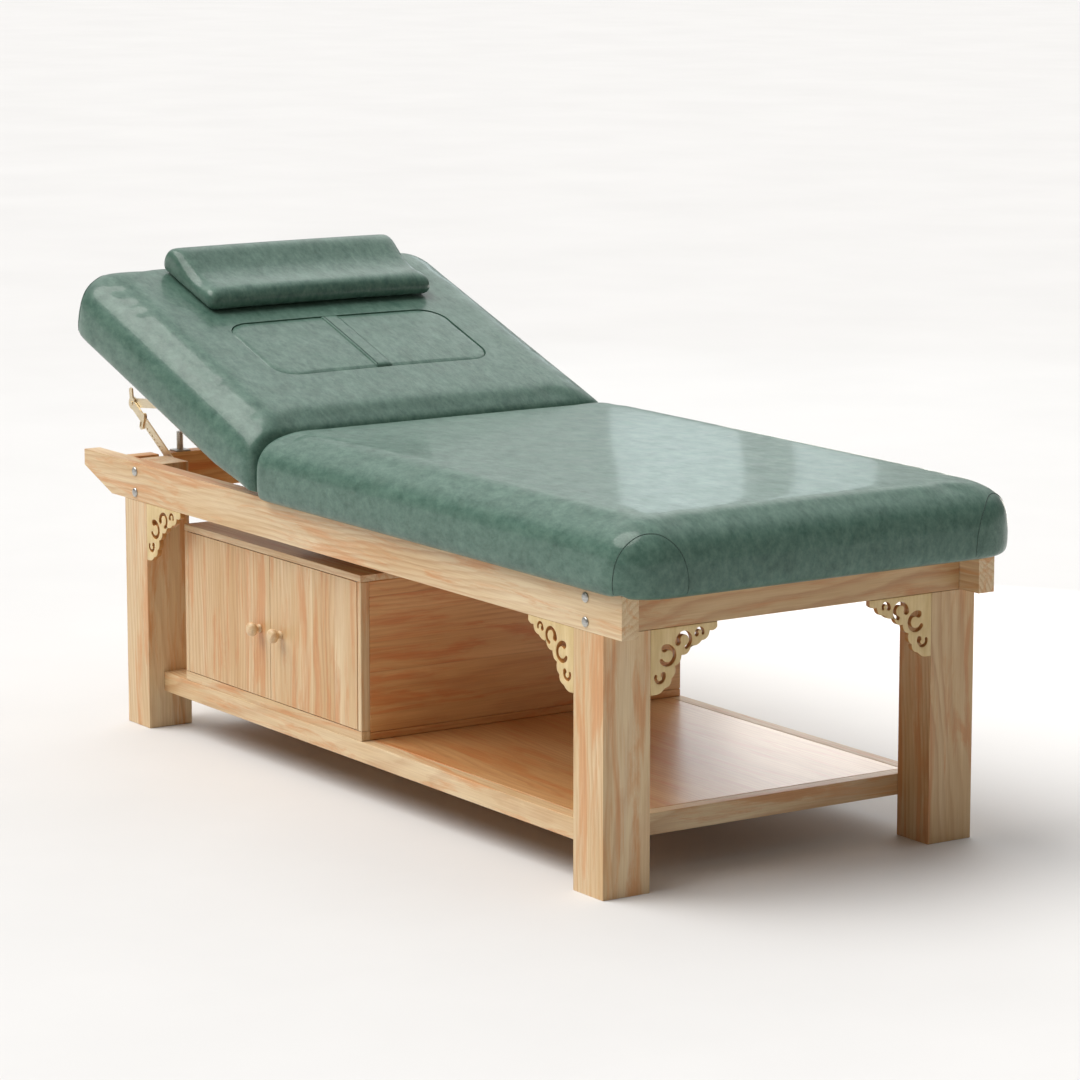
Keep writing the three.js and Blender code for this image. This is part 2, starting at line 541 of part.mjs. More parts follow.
function lowerArm(side) {
  const knee = stayPoint(STAY.knee);
  const foot = stayPoint(STAY.foot);
  const along = foot.clone().sub(knee).normalize();
  const across = new THREE.Vector2(-along.y, along.x);
  const on = (distance, aside = 0) => knee.clone().addScaledVector(along, distance).addScaledVector(across, aside);
  const length = foot.distanceTo(knee);
  const slot = STAY.slot.map((travel) => on(length + travel));
  const span = mirrored(STAY_Y.lower, side);
  const through = mirrored([STAY.y - 20, STAY.y + 20], side);

  const bar = plate(barOutline(on(0), on(length + STAY.slot[1] + 6), STAY.barHalf), span);
  const boss = rod('y', STAY.boss, span, [knee.x, knee.y], 20);
  const tail = plate(barOutline(knee, knee.clone().add(new THREE.Vector2(-4, 24)), 6), span);
  const holes = [];
  for (let i = 0; i < 7; i += 1) {
    const at = on(76 + 11 * i, -4.2);
    holes.push(rod('y', 1.9, through, [at.x, at.y], 8));
  }
  const plateCut = cut(join(bar, boss, tail), plate(barOutline(slot[0], slot[1], STAY.pin + 0.9), through), ...holes);

  const collarSpan = mirrored([STAY.y + 6, STAY.y - 0.2], side);
  const collar = plate(barOutline(on(52, 8), on(56, -13), 6.5), collarSpan);
  const window = plate(barOutline(on(52.5, -7), on(53.6, -13), 2.4), through);
  const collarCut = cut(collar, window);
  const pin = rod('y', STAY.pin, mirrored([STAY.y + 5, STAY.y - 6], side), [knee.x, knee.y], 16);
  const pinHead = rod('y', STAY.pin + 3, mirrored([STAY.y - 4, STAY.y - 6.5], side), [knee.x, knee.y], 16);
  return join(plateCut, collarCut, pin, pinHead);
}

function upperArm(side) {
  const knee = stayPoint(STAY.knee);
  const pivot = stayPoint(tiltedPoint(STAY.upper));
  const through = mirrored([STAY.y - 20, STAY.y + 20], side);
  const span = mirrored(STAY_Y.upper, side);
  const bar = plate(barOutline(knee, pivot, STAY.barHalf), span);
  const boss = rod('y', STAY.boss, span, [knee.x, knee.y], 20);
  const bores = [knee, pivot].map((at) => rod('y', STAY.pin + 0.35, through, [at.x, at.y], 16));
  return cut(join(bar, boss), ...bores);
}

// A point of the tilted back rest, as a distance from the hinge towards the head end and a height above it.
function tiltedPoint([s, z]) {
  const c = Math.cos(REST_ANGLE);
  const t = Math.sin(REST_ANGLE);
  return [s * c - z * t, s * t + z * c];
}

function addStays() {
  const foot = stayPoint(STAY.foot);
  for (const [where, side] of Object.entries(SIDES)) {
    const anchorPin = rod('y', STAY.pin, mirrored([LEG_INNER_Y - 1, STAY.y - 1], side), [foot.x, foot.y], 16);
    const anchorHead = rod('y', STAY.pin + 3, mirrored([STAY.y, STAY.y - 2.5], side), [foot.x, foot.y], 16);
    const anchor = join(...boltPair(legMiddle.head, side), anchorPin, anchorHead);
    piece(bed, `stay_anchor_${where}`, anchor, STEEL);
    piece(bed, `rail_bolts_foot_${where}`, join(...boltPair(legMiddle.foot, side)), STEEL);
    piece(bed, `stay_lower_arm_${where}`, lowerArm(side), ZINC);
    piece(bed, `stay_upper_arm_${where}`, upperArm(side), ZINC);

    const [s, z] = STAY.upper;
    const top = BOARD_Z[0] - GAP;
    const flange = block([-s - 22, -s + 22], mirrored([STAY.y - 4.5, STAY.y - 30], side), [top - 2.5, top]);
    const ear = block([-s - 11, -s + 11], mirrored(STAY_Y.bracket, side), [z - 9, top]);
    const pin = rod('y', STAY.pin, mirrored([STAY.y - 6, STAY.y + 1], side), [-s, z], 16);
    piece(backrest, `stay_bracket_${where}`, join(flange, ear, pin), STEEL);
  }
}

// ---- locating post on the head rail, which enters a socket in the lowered back rest -----------------------------------------
function addPost() {
  const { x, y, radius, high, flange, flangeThick } = POST;
  const base = RAIL.top + GAP;
  const plateBase = block([x - flange, x + flange], [y - flange, y + flange], [base, base + flangeThick]);
  piece(bed, 'locating_post', join(plateBase, rod('z', radius, [base, RAIL.top + high], [x, y], 20)), STEEL);
}

addFrame();
addShelf();
addFrets();
addCupboard();
addSeat();
addBackrest();
addHinges();
addStays();
addPost();

export default bed;
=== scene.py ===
"""Looks of the wooden massage bed: pads, seams, timber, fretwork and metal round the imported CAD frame."""
import json
import math

import bmesh
import bpy
import numpy as np
from mathutils import Matrix, Vector
from mathutils.bvhtree import BVHTree


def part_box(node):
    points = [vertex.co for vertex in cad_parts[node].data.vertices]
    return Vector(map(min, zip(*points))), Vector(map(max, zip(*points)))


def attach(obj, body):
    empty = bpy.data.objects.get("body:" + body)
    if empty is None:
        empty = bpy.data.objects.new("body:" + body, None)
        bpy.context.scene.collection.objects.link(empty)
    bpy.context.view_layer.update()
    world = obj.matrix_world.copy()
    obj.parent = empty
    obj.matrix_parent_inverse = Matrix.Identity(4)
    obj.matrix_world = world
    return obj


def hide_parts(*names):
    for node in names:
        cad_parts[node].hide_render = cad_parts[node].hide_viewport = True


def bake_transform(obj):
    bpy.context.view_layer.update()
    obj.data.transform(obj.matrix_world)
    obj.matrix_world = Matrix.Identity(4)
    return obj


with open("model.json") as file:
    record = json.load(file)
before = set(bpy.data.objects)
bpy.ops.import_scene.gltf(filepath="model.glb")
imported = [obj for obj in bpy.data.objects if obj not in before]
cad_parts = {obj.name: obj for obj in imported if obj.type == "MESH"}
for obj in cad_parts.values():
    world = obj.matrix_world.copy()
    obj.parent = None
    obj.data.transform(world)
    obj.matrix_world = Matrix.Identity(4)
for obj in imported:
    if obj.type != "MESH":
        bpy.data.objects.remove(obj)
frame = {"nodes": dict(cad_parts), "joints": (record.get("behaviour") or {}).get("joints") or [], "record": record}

SCENE = bpy.context.scene
NODES = frame["nodes"]
JOINTS = {joint["name"]: joint for joint in frame["joints"]}
SIDES = {"near": -1, "far": 1}

bpy.context.view_layer.update()

# The back rest's own frame: lying flat from the hinge line towards -X, then tilted to its rest angle.
HINGE = Vector(JOINTS["backrest_tilt"]["pos_m"])
REST_ANGLE = math.radians(-JOINTS["backrest_tilt"]["range_deg"][0])
TILT = Matrix.Translation(HINGE) @ Matrix.Rotation(REST_ANGLE, 4, "Y")
UNTILT = TILT.inverted()


def flat_box(node):
    """The lowest and highest corner of a back rest node, in the back rest's own frame."""
    points = np.array([UNTILT @ v.co for v in NODES[node].data.vertices])
    return Vector(points.min(0)), Vector(points.max(0))


# ---- camera, light and floor ---------------------------------------------------------------------
CAMERA = {"place": (6.2768, -4.1221, 1.7673), "turn_deg": (79.90, 0, 56.38), "lens_mm": 141.2}
SKY_AXIS = (-0.30, 0.20, 0.60)  # the sky brightens along this direction
SKY_MIDDLE = 0.36
SKY_STOPS = [(0.0, (0.12, 0.10, 0.08, 1)), (0.36, (0.27, 0.24, 0.21, 1)), (0.70, 0.12), (0.96, 1.0)]
SUN = {"energy": 3.0, "spread_deg": 52, "colour": (1.0, 0.975, 0.945), "toward": (0.35, 0.55, -1.0)}
SHEEN = (0.5, 0.1, 0.63)  # where on the seat the windows are mirrored
DAYLIGHT = (0.84, 0.96, 1.0)
PANELS = [  # name, place, target, size, power, colour
    ("window_left", (-4.59, 3.64, 1.95), SHEEN, (0.43, 1.3), 2.6, DAYLIGHT),
    ("window_right", (-4.24, 4.02, 1.95), SHEEN, (0.27, 1.3), 1.5, DAYLIGHT),
    ("lit_wall", (-5.0, 3.0, 1.95), SHEEN, (0.95, 1.3), 0.6, (0.92, 1.0, 0.97)),
    ("high_panel", (-2.7, 2.5, 3.3), (-0.5, 0, 0.75), (2.6, 2.4), 9, (1, 1, 1)),
    ("low_panel", (-0.80, 1.95, 0.42), (0.55, 0.0, 0.12), (1.5, 0.5), 7.0, (1.0, 0.93, 0.85)),
]
FLOOR = {"half": 45.0, "thick": 0.02}


def add_object(name, data):
    made = bpy.data.objects.new(name, data)
    SCENE.collection.objects.link(made)
    return made


def add_camera():
    data = bpy.data.cameras.new("camera")
    data.lens = CAMERA["lens_mm"]
    data.sensor_width = 36
    camera = add_object("camera", data)
    camera.location = CAMERA["place"]
    camera.rotation_euler = [math.radians(angle) for angle in CAMERA["turn_deg"]]
    SCENE.camera = camera


def facing(direction):
    return Vector(direction).to_track_quat("-Z", "Y").to_euler()


def area_light(name, place, target, size, power, colour):
    data = bpy.data.lights.new(name, "AREA")
    data.shape = "RECTANGLE"
    data.size, data.size_y = size
    data.energy = power
    data.color = colour
    light = add_object(name, data)
    light.location = place
    light.rotation_euler = facing(Vector(target) - Vector(place))
    return light


def add_studio():
    world = bpy.data.worlds.new("studio")
    world.use_nodes = True
    tree = world.node_tree
    place = add_node(tree, "ShaderNodeTexCoord").outputs["Generated"]
    toward = vector_math(tree, "DOT_PRODUCT", place, SKY_AXIS, "Value")
    sky = ramp(tree, math_node(tree, "ADD", toward, SKY_MIDDLE), *SKY_STOPS)
    link(tree, sky, tree.nodes["Background"], "Color")
    tree.nodes["Background"].inputs["Strength"].default_value = 1.0
    SCENE.world = world
    SCENE.view_settings.view_transform = "Standard"
    sun = add_object("soft_sun", bpy.data.lights.new("soft_sun", "SUN"))
    sun.data.energy = SUN["energy"]
    sun.data.angle = math.radians(SUN["spread_deg"])
    sun.data.color = SUN["colour"]
    sun.rotation_euler = facing(SUN["toward"])
    lights = [area_light(*panel) for panel in PANELS]
    lights[-1].visible_camera = False


def add_floor():
    half, thick = FLOOR["half"], FLOOR["thick"]
    mesh = bpy.data.meshes.new("floor")
    corners = [(-half, -half, 0), (half, -half, 0), (half, half, 0), (-half, half, 0)]
    mesh.from_pydata([*corners, *((x, y, -thick) for x, y, _ in corners)], [], [
        (0, 1, 2, 3), (7, 6, 5, 4), (0, 4, 5, 1), (1, 5, 6, 2), (2, 6, 7, 3), (3, 7, 4, 0)])
    floor = add_object("floor", mesh)
    floor.data.materials.append(floor_material())


# ---- material helpers ----------------------------------------------------------------------------
def srgb(*levels):
    """A colour given as 0 to 255 levels, as the linear colour that shaders take."""
    shares = [level / 255 for level in levels]
    return (*(s / 12.92 if s <= 0.04045 else ((s + 0.055) / 1.055) ** 2.4 for s in shares), 1)


def new_material(name):
    material = bpy.data.materials.new(name)
    material.use_nodes = True
    return material, material.node_tree, material.node_tree.nodes["Principled BSDF"]


def add_node(tree, kind, inputs=(), **settings):
    made = tree.nodes.new(kind)
    for key, value in settings.items():
        setattr(made, key, value)
    for key, value in dict(inputs).items():
        if isinstance(value, bpy.types.NodeSocket):
            tree.links.new(value, made.inputs[key])
        else:
            made.inputs[key].default_value = value
    return made


def ramp(tree, share, *stops):
    made = add_node(tree, "ShaderNodeValToRGB", {"Fac": share})
    points = made.color_ramp.elements
    while len(points) < len(stops):
        points.new(0.5)
    for point, (position, colour) in zip(points, stops):
        point.position = position
        point.color = colour if isinstance(colour, tuple) else (colour, colour, colour, 1)
    return made.outputs["Color"]


def math_node(tree, operation, *values):
    inputs = {i: value for i, value in enumerate(values)}
    return add_node(tree, "ShaderNodeMath", inputs, operation=operation).outputs[0]


def vector_math(tree, operation, first, second, output="Vector"):
    return add_node(tree, "ShaderNodeVectorMath", {0: first, 1: second}, operation=operation).outputs[output]


def mix(tree, share, first, second, how="MIX"):
    made = add_node(tree, "ShaderNodeMix", data_type="RGBA", blend_type=how)
    for slot, value in ((0, share), (6, first), (7, second)):
        if isinstance(value, bpy.types.NodeSocket):
            tree.links.new(value, made.inputs[slot])
        else:
            made.inputs[slot].default_value = value
    return made.outputs[2]


def noise(tree, vector, scale, detail=4.0, roughness=0.55, distortion=0.0, output="Fac"):
    inputs = {"Vector": vector, "Scale": scale, "Detail": detail, "Roughness": roughness}
    return add_node(tree, "ShaderNodeTexNoise", {**inputs, "Distortion": distortion}).outputs[output]


def stretch(tree, vector, scale, move=(0, 0, 0), turn=(0, 0, 0)):
    inputs = {"Vector": vector, "Scale": scale, "Location": move, "Rotation": turn}
    return add_node(tree, "ShaderNodeMapping", inputs).outputs["Vector"]


def bump(tree, shader, height, distance, strength=1.0, under=None):
    inputs = {"Height": height, "Distance": distance, "Strength": strength}
    if under is not None:
        inputs["Normal"] = under
    normal = add_node(tree, "ShaderNodeBump", inputs).outputs["Normal"]
    link(tree, normal, shader, "Normal")
    return normal


def link(tree, socket, shader, name):
    tree.links.new(socket, shader.inputs[name])


def set_values(shader, values):
    for name, value in values.items():
        shader.inputs[name].default_value = value


def object_place(tree):
    return add_node(tree, "ShaderNodeTexCoord").outputs["Object"]


def fibre_tint(tree, colour, share, fibre, dark):
    """Darkens colour between the fibres."""
    return mix(tree, share, colour, ramp(tree, fibre, (0.3, dark), (0.7, WHITE)), "MULTIPLY")


WHITE = srgb(255, 255, 255)


# ---- materials -----------------------------------------------------------------------------------
def floor_material():
    material, tree, shader = new_material("studio_floor")
    colour = ramp(tree, noise(tree, object_place(tree), 1.5), (0.3, 0.69), (0.7, 0.72))
    link(tree, colour, shader, "Base Color")
    shader.inputs["Roughness"].default_value = 0.75
    return material


REST_PLACE = "rest_place"  # a bending piece's texture stays with it through this attribute


def leather(name="sage_leather", bends=False):
    """Coated fabric: cloudy sage green with a fine pebbled grain and soft handling creases."""
    material, tree, shader = new_material(name)
    if bends:
        place = add_node(tree, "ShaderNodeAttribute", attribute_name=REST_PLACE).outputs["Vector"]
    else:
        place = object_place(tree)
    clouds = noise(tree, stretch(tree, place, (1, 1.5, 1.4)), 17.0, 8.0, 0.66, 0.8)
    base = ramp(tree, clouds, (0.30, srgb(57, 89, 78)), (0.5, srgb(74, 108, 96)), (0.72, srgb(95, 128, 115)))
    specks = noise(tree, stretch(tree, place, (0.6, 1.2, 1)), 62.0, 7.0, 0.74)
    base = mix(tree, 0.45, base, ramp(tree, specks, (0.32, srgb(48, 76, 66)), (0.70, srgb(116, 142, 128))))
    link(tree, base, shader, "Base Color")

    pebbles = add_node(tree, "ShaderNodeTexVoronoi", {"Vector": place, "Scale": 520.0, "Randomness": 0.9},
                       feature="SMOOTH_F1").outputs["Distance"]
    grain = math_node(tree, "ADD", math_node(tree, "MULTIPLY", pebbles, 0.7), noise(tree, place, 900.0, 3.0))
    creases = noise(tree, stretch(tree, place, (5, 16, 10)), 5.0, 5.0, 0.6, 0.9)
    rough = ramp(tree, noise(tree, place, 22.0, 6.0, 0.6), (0.3, 0.29), (0.7, 0.40))
    link(tree, rough, shader, "Roughness")
    set_values(shader, {"Specular IOR Level": 0.22, "Coat Weight": 0.26, "Coat Roughness": 0.085})
    under = bump(tree, shader, creases, 0.0013, 0.5)
    bump(tree, shader, grain, 0.00015, 0.5, under)
    return material


def thread_material():
    material, tree, shader = new_material("seam_thread")
    wave = {"Vector": object_place(tree), "Scale": 260.0, "Distortion": 1.5}
    twist = add_node(tree, "ShaderNodeTexWave", wave).outputs["Fac"]
    colour = ramp(tree, twist, (0.1, srgb(38, 60, 53)), (0.9, srgb(66, 92, 83)))
    link(tree, colour, shader, "Base Color")
    shader.inputs["Roughness"].default_value = 0.7
    bump(tree, shader, twist, 0.0002, 0.6)
    return material


GRAIN_TURN = {"X": (0, 0, 0), "Y": (0, 0, -math.pi / 2), "Z": (0, math.pi / 2, 0)}


def pine(name, grain, seed, plank=None, plank_axis="Y", shade_tint=(1, 1, 1), flame=0.6, gloss=0.12):
    """Lacquered pine. grain is the axis that the fibres follow. plank is the width of the boards that a panel
    is glued from, counted along plank_axis of the frame in which the fibres run along X. flame is the strength
    of the orange streaks, gloss the weight of the lacquer. The tint after plank_axis is multiplied into the
    colour as painted shade and warm bounce light on parts that stand in shade."""
    material, tree, shader = new_material(name)
    wood = stretch(tree, object_place(tree), (1, 1, 1), turn=GRAIN_TURN[grain])
    if plank:
        parts = add_node(tree, "ShaderNodeSeparateXYZ", {"Vector": wood})
        across = math_node(tree, "ADD", parts.outputs[plank_axis], 10.0 + seed * 0.013)
        boards = math_node(tree, "DIVIDE", across, plank)
        number = math_node(tree, "FLOOR", boards)
        shade = add_node(tree, "ShaderNodeTexWhiteNoise", {"W": number}, noise_dimensions="1D")
        jump = vector_math(tree, "MULTIPLY", shade.outputs["Color"], (2.0, 0.6, 0.35))
        wood = vector_math(tree, "ADD", wood, jump)

    wander = noise(tree, stretch(tree, wood, (1.1, 5, 5), (seed, 0, 0)), 1.6, 2.0, 0.5, output="Color")
    log = vector_math(tree, "ADD", wood, vector_math(tree, "MULTIPLY", wander, (0.0, 0.055, 0.055)))
    lean = (0, math.radians(2.6 + (seed * 1.7) % 2.2), math.radians(1.2 + (seed * 2.3) % 1.9))
    pith = (0.0, 0.02 + (seed * 0.031) % 0.05, -0.05 - (seed * 0.023) % 0.06)
    wave = {"Vector": stretch(tree, log, (0.5, 1, 1), pith, lean), "Scale": 34.0, "Distortion": 1.4,
            "Detail": 2.0, "Detail Scale": 1.2}
    rings = add_node(tree, "ShaderNodeTexWave", wave, wave_type="RINGS", rings_direction="X",
                     wave_profile="SAW").outputs["Fac"]
    late = ramp(tree, rings, (0.35, 0.0), (0.86, 1.0), (0.97, 0.35))
    fading = noise(tree, stretch(tree, wood, (0.8, 5, 5), (seed * 3, 0, 0)), 2.2, 3.0)
    grain_share = math_node(tree, "MULTIPLY", late, ramp(tree, fading, (0.32, 0.06), (0.68, 0.46)))

    tone = noise(tree, stretch(tree, wood, (0.9, 7, 7), (seed * 5, 0, 0)), 2.0, 4.0, 0.6)
    pale = ramp(tree, tone, (0.3, srgb(216, 184, 136)), (0.7, srgb(235, 215, 178)))
    colour = mix(tree, grain_share, pale, srgb(178, 112, 58))
    streaks = noise(tree, stretch(tree, log, (1.5, 15, 15), (seed * 7, 0, 0)), 2.1, 7.0, 0.68, 0.6)
    patches = ramp(tree, streaks, (0.50, 0.0), (0.61, flame))
    colour = mix(tree, patches, colour, srgb(213, 142, 78))
    fibre = noise(tree, stretch(tree, wood, (9, 420, 420)), 1.0, 3.0, 0.6)
    colour = fibre_tint(tree, colour, 0.55, fibre, srgb(222, 210, 200))
    if plank:
        board_tint = ramp(tree, shade.outputs["Value"], (0.0, srgb(240, 224, 202)), (1.0, WHITE))
        colour = mix(tree, 0.85, colour, board_tint, "MULTIPLY")
        edge = math_node(tree, "PINGPONG", boards, 0.5)
        joint = ramp(tree, edge, (0.0, 1.0), (0.006, 0.0))
        colour = mix(tree, math_node(tree, "MULTIPLY", joint, 0.35), colour, srgb(140, 96, 60))
    # Painted shade: the part's tint darkens and warms its colour where the part stands in shade.
    colour = mix(tree, 1.0, colour, (*shade_tint, 1), "MULTIPLY")
    link(tree, colour, shader, "Base Color")
    link(tree, ramp(tree, fibre, (0.3, 0.50), (0.7, 0.38)), shader, "Roughness")
    set_values(shader, {"Coat Weight": gloss, "Coat Roughness": 0.3})
    raised = math_node(tree, "MULTIPLY", fibre, 0.6)
    relief = math_node(tree, "SUBTRACT", raised, math_node(tree, "MULTIPLY", late, 0.3))
    bump(tree, shader, relief, 0.00035, 0.5)
    return material


def plywood():
    material, tree, shader = new_material("birch_plywood")
    place = object_place(tree)
    figure = noise(tree, stretch(tree, place, (1.2, 11, 60)), 3.0, 6.0, 0.6, 0.6)
    stops = (0.3, srgb(186, 148, 104)), (0.52, srgb(204, 170, 126)), (0.75, srgb(219, 190, 150))
    fibre = noise(tree, stretch(tree, place, (12, 300, 300)), 1.0, 3.0)
    colour = fibre_tint(tree, ramp(tree, figure, *stops), 0.5, fibre, srgb(220, 205, 190))
    link(tree, colour, shader, "Base Color")
    link(tree, ramp(tree, fibre, (0.3, 0.75), (0.7, 0.6)), shader, "Roughness")
    bump(tree, shader, fibre, 0.0004, 0.5)
    return material


def fretwork_wood(name, thin_axis):
    """Pale lacquered plywood, browner where the saw has cut through it. thin_axis is across the plate."""
    material, tree, shader = new_material(name)
    place = object_place(tree)
    figure = noise(tree, stretch(tree, place, (30, 30, 6)), 2.0, 5.0, 0.6, 0.5)
    colour = ramp(tree, figure, (0.3, srgb(212, 184, 124)), (0.7, srgb(228, 204, 150)))
    normal = add_node(tree, "ShaderNodeTexCoord").outputs["Normal"]
    across = add_node(tree, "ShaderNodeSeparateXYZ", {"Vector": normal}).outputs[thin_axis]
    sawn = ramp(tree, math_node(tree, "ABSOLUTE", across), (0.25, 1.0), (0.75, 0.0))
    colour = mix(tree, sawn, colour, srgb(186, 132, 72))
    fibre = noise(tree, stretch(tree, place, (300, 300, 20)), 1.0, 3.0)
    colour = fibre_tint(tree, colour, 0.35, fibre, srgb(225, 214, 200))
    link(tree, colour, shader, "Base Color")
    link(tree, ramp(tree, fibre, (0.3, 0.42), (0.7, 0.3)), shader, "Roughness")
    set_values(shader, {"Coat Weight": 0.3, "Coat Roughness": 0.2})
    bump(tree, shader, fibre, 0.0002, 0.5)
    return material


def metal(name, light, dark):
    """Brushed metal, its fine lines lying level."""
    material, tree, shader = new_material(name)
    place = object_place(tree)
    lines = noise(tree, stretch(tree, place, (40, 40, 900)), 1.0, 4.0, 0.6)
    stains = noise(tree, place, 35.0, 5.0, 0.6)
    brushed = ramp(tree, lines, (0.3, dark), (0.7, light))
    colour = mix(tree, 0.5, brushed, ramp(tree, stains, (0.35, dark), (0.65, light)))
    link(tree, colour, shader, "Base Color")
    shader.inputs["Metallic"].default_value = 0.9
    link(tree, ramp(tree, stains, (0.3, 0.28), (0.7, 0.45)), shader, "Roughness")
    bump(tree, shader, lines, 0.00008, 0.6)
    return material


# ---- mesh helpers --------------------------------------------------------------------------------
def quarter(steps):
    """The angles of a quarter turn in equal steps."""
    return [math.pi / 2 * k / steps for k in range(steps + 1)]


def mesh_object(name, points, faces):
    mesh = bpy.data.meshes.new(name)
    mesh.from_pydata([tuple(p) for p in points], [], faces)
    mesh.validate()
    return add_object(name, mesh)


def loft(name, rings):
    """A closed solid through rings of equally many points, capped at both ends."""
    count = len(rings[0])
    points = [p for ring in rings for p in ring]
    last = (len(rings) - 1) * count
    faces = [
        (k + i, k + (i + 1) % count, k + count + (i + 1) % count, k + count + i)
        for k in range(0, last, count)
        for i in range(count)
    ]
    faces.append(tuple(reversed(range(count))))
    faces.append(tuple(range(last, last + count)))
    return mesh_object(name, points, faces)


def evaluated(obj):
    """Applies every modifier of obj."""
    graph = bpy.context.evaluated_depsgraph_get()
    mesh = bpy.data.meshes.new_from_object(obj.evaluated_get(graph))
    obj.modifiers.clear()
    old, obj.data = obj.data, mesh
    bpy.data.meshes.remove(old)
    return obj


def coordinates(obj):
    found = np.empty(len(obj.data.vertices) * 3)
    obj.data.vertices.foreach_get("co", found)
    return found.reshape(-1, 3)


def set_coordinates(obj, points):
    obj.data.vertices.foreach_set("co", np.asarray(points, float).ravel())
    obj.data.update()


def relax(obj, rounds):
    """Evens out a mesh: each vertex moves half way to the middle of its neighbours."""
    edges = np.empty(len(obj.data.edges) * 2, int)
    obj.data.edges.foreach_get("vertices", edges)
    a, b = edges.reshape(-1, 2).T
    points = coordinates(obj)
    degree = np.bincount(np.concatenate([a, b]), minlength=len(points))[:, None]
    for _ in range(rounds):
        total = np.zeros_like(points)
        np.add.at(total, a, points[b])
        np.add.at(total, b, points[a])
        points += (total / degree - points) / 2
    set_coordinates(obj, points)


def remesh(obj, voxel):
    made = obj.modifiers.new("voxels", "REMESH")
    made.mode = "VOXEL"
    made.voxel_size = voxel
    return evaluated(obj)


SIM_FRAMES = 14
CLOTH = {"quality": 3, "uniform_pressure_force": 4, "tension_stiffness": 12, "compression_stiffness": 12,
         "bending_stiffness": 2.5}
DRAWN_IN = 0.25


def puff(obj, cap, pinned_below):
    """Swells obj as pressurised cloth with what lies below pinned_below held. The cover moves out by cap at
    most, and in, where the sides are drawn between their corners, by the share DRAWN_IN of it."""
    start = coordinates(obj)
    normals = np.empty(len(start) * 3)
    obj.data.vertices.foreach_get("normal", normals)
    held = obj.vertex_groups.new(name="held")
    held.add([int(i) for i in np.nonzero(start[:, 2] < pinned_below)[0]], 1.0, "REPLACE")
    cloth = obj.modifiers.new("cloth", "CLOTH")
    settings = cloth.settings
    settings.vertex_group_mass = "held"
    settings.use_pressure = True
    settings.effector_weights.gravity = 0
    for name, value in CLOTH.items():
        setattr(settings, name, value)
    cloth.collision_settings.use_collision = False
    cloth.point_cache.frame_start = 1
    cloth.point_cache.frame_end = SIM_FRAMES
    for number in range(1, SIM_FRAMES + 1):
        SCENE.frame_set(number)
    graph = bpy.context.evaluated_depsgraph_get()
    swollen = bpy.data.meshes.new_from_object(obj.evaluated_get(graph))
    moved = np.empty(len(swollen.vertices) * 3)
    swollen.vertices.foreach_get("co", moved)
    bpy.data.meshes.remove(swollen)
    obj.modifiers.clear()
    obj.vertex_groups.clear()
    normals = normals.reshape(-1, 3)
    out = ((moved.reshape(-1, 3) - start) * normals).sum(1)
    limit = np.where(out > 0, cap, cap * DRAWN_IN)
    set_coordinates(obj, start + normals * (limit * np.tanh(out / cap))[:, None])
    SCENE.frame_set(1)


def subdivide(obj):
    made = obj.modifiers.new("smooth", "SUBSURF")
    made.levels = made.render_levels = 1
    return evaluated(obj)


def smooth_shade(obj, angle=None):
    obj.data.polygons.foreach_set("use_smooth", [True] * len(obj.data.polygons))
    if angle is not None:
        obj.data.set_sharp_from_angle(angle=math.radians(angle))
    return obj


def carve(obj, *tools):
    """Cuts the tools out of obj and removes them."""
    for tool in tools:
        made = obj.modifiers.new("carve", "BOOLEAN")
        made.operation = "DIFFERENCE"
        made.object = tool
        made.solver = "MANIFOLD"
    evaluated(obj)
    for tool in tools:
        bpy.data.objects.remove(tool)
    return obj


def tree_of(obj):
    mesh = obj.data
    return BVHTree.FromPolygons([v.co for v in mesh.vertices], [p.vertices for p in mesh.polygons])


def height_over(tree, x, y, fallback):
    """How high the surface of tree is at x, y."""
    hit = tree.ray_cast(Vector((x, y, 1.0)), Vector((0, 0, -1)))[0]
    return hit.z if hit else fallback


def tube(name, path, radius, sides=8):
    """A round cord along a path, with rounded ends."""
    path = [Vector(p) for p in path]
    rings, normal = [], None
    for before, point, after in zip([path[0], *path], path, [*path[1:], path[-1]]):
        along = (after - before).normalized()
        guess = normal if normal is not None else along.orthogonal()
        normal = (guess - along * guess.dot(along)).normalized()
        across = along.cross(normal)
        turns = (2 * math.pi * k / sides for k in range(sides))
        rings.append([point + (normal * math.cos(a) + across * math.sin(a)) * radius for a in turns])
    ends = []
    for ring, end, last_but_one in ((rings[0], path[0], path[1]), (rings[-1], path[-1], path[-2])):
        out = (end - last_but_one).normalized()
        ends.append([end + (p - end) * 0.5 + out * radius * 0.8 for p in ring])
    return smooth_shade(loft(name, [ends[0], *rings, ends[1]]))


def join_objects(name, parts):
    """Joins meshes into one new object."""
    points, faces = [], []
    for part in parts:
        offset = len(points)
        points += [part.matrix_world @ v.co for v in part.data.vertices]
        faces += [tuple(offset + i for i in p.vertices) for p in part.data.polygons]
        bpy.data.objects.remove(part)
    return smooth_shade(mesh_object(name, points, faces))


def stitches(name, path, pitch, share, radius):
    """A row of short stitches along a path, each over a share of the pitch."""
    path = [Vector(p) for p in path]
    reach = np.concatenate([[0], np.cumsum([(b - a).length for a, b in zip(path, path[1:])])])

    def at(distance):
        i = min(int(np.searchsorted(reach, distance, "right")) - 1, len(path) - 2)
        share_along = (distance - reach[i]) / max(reach[i + 1] - reach[i], 1e-9)
        return path[i].lerp(path[i + 1], share_along)

    count = int(reach[-1] / pitch)
    made = [tube("stitch", [at(pitch * k), at(pitch * (k + share / 2)), at(pitch * (k + share))], radius, 6)
            for k in range(count)]
    return join_objects(name, made)


def set_material(obj, material):
    obj.data.materials.clear()
    obj.data.materials.append(material)


def finish_piece(obj, body, material):
    set_material(obj, material)
    if body:
        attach(obj, body)
    return obj


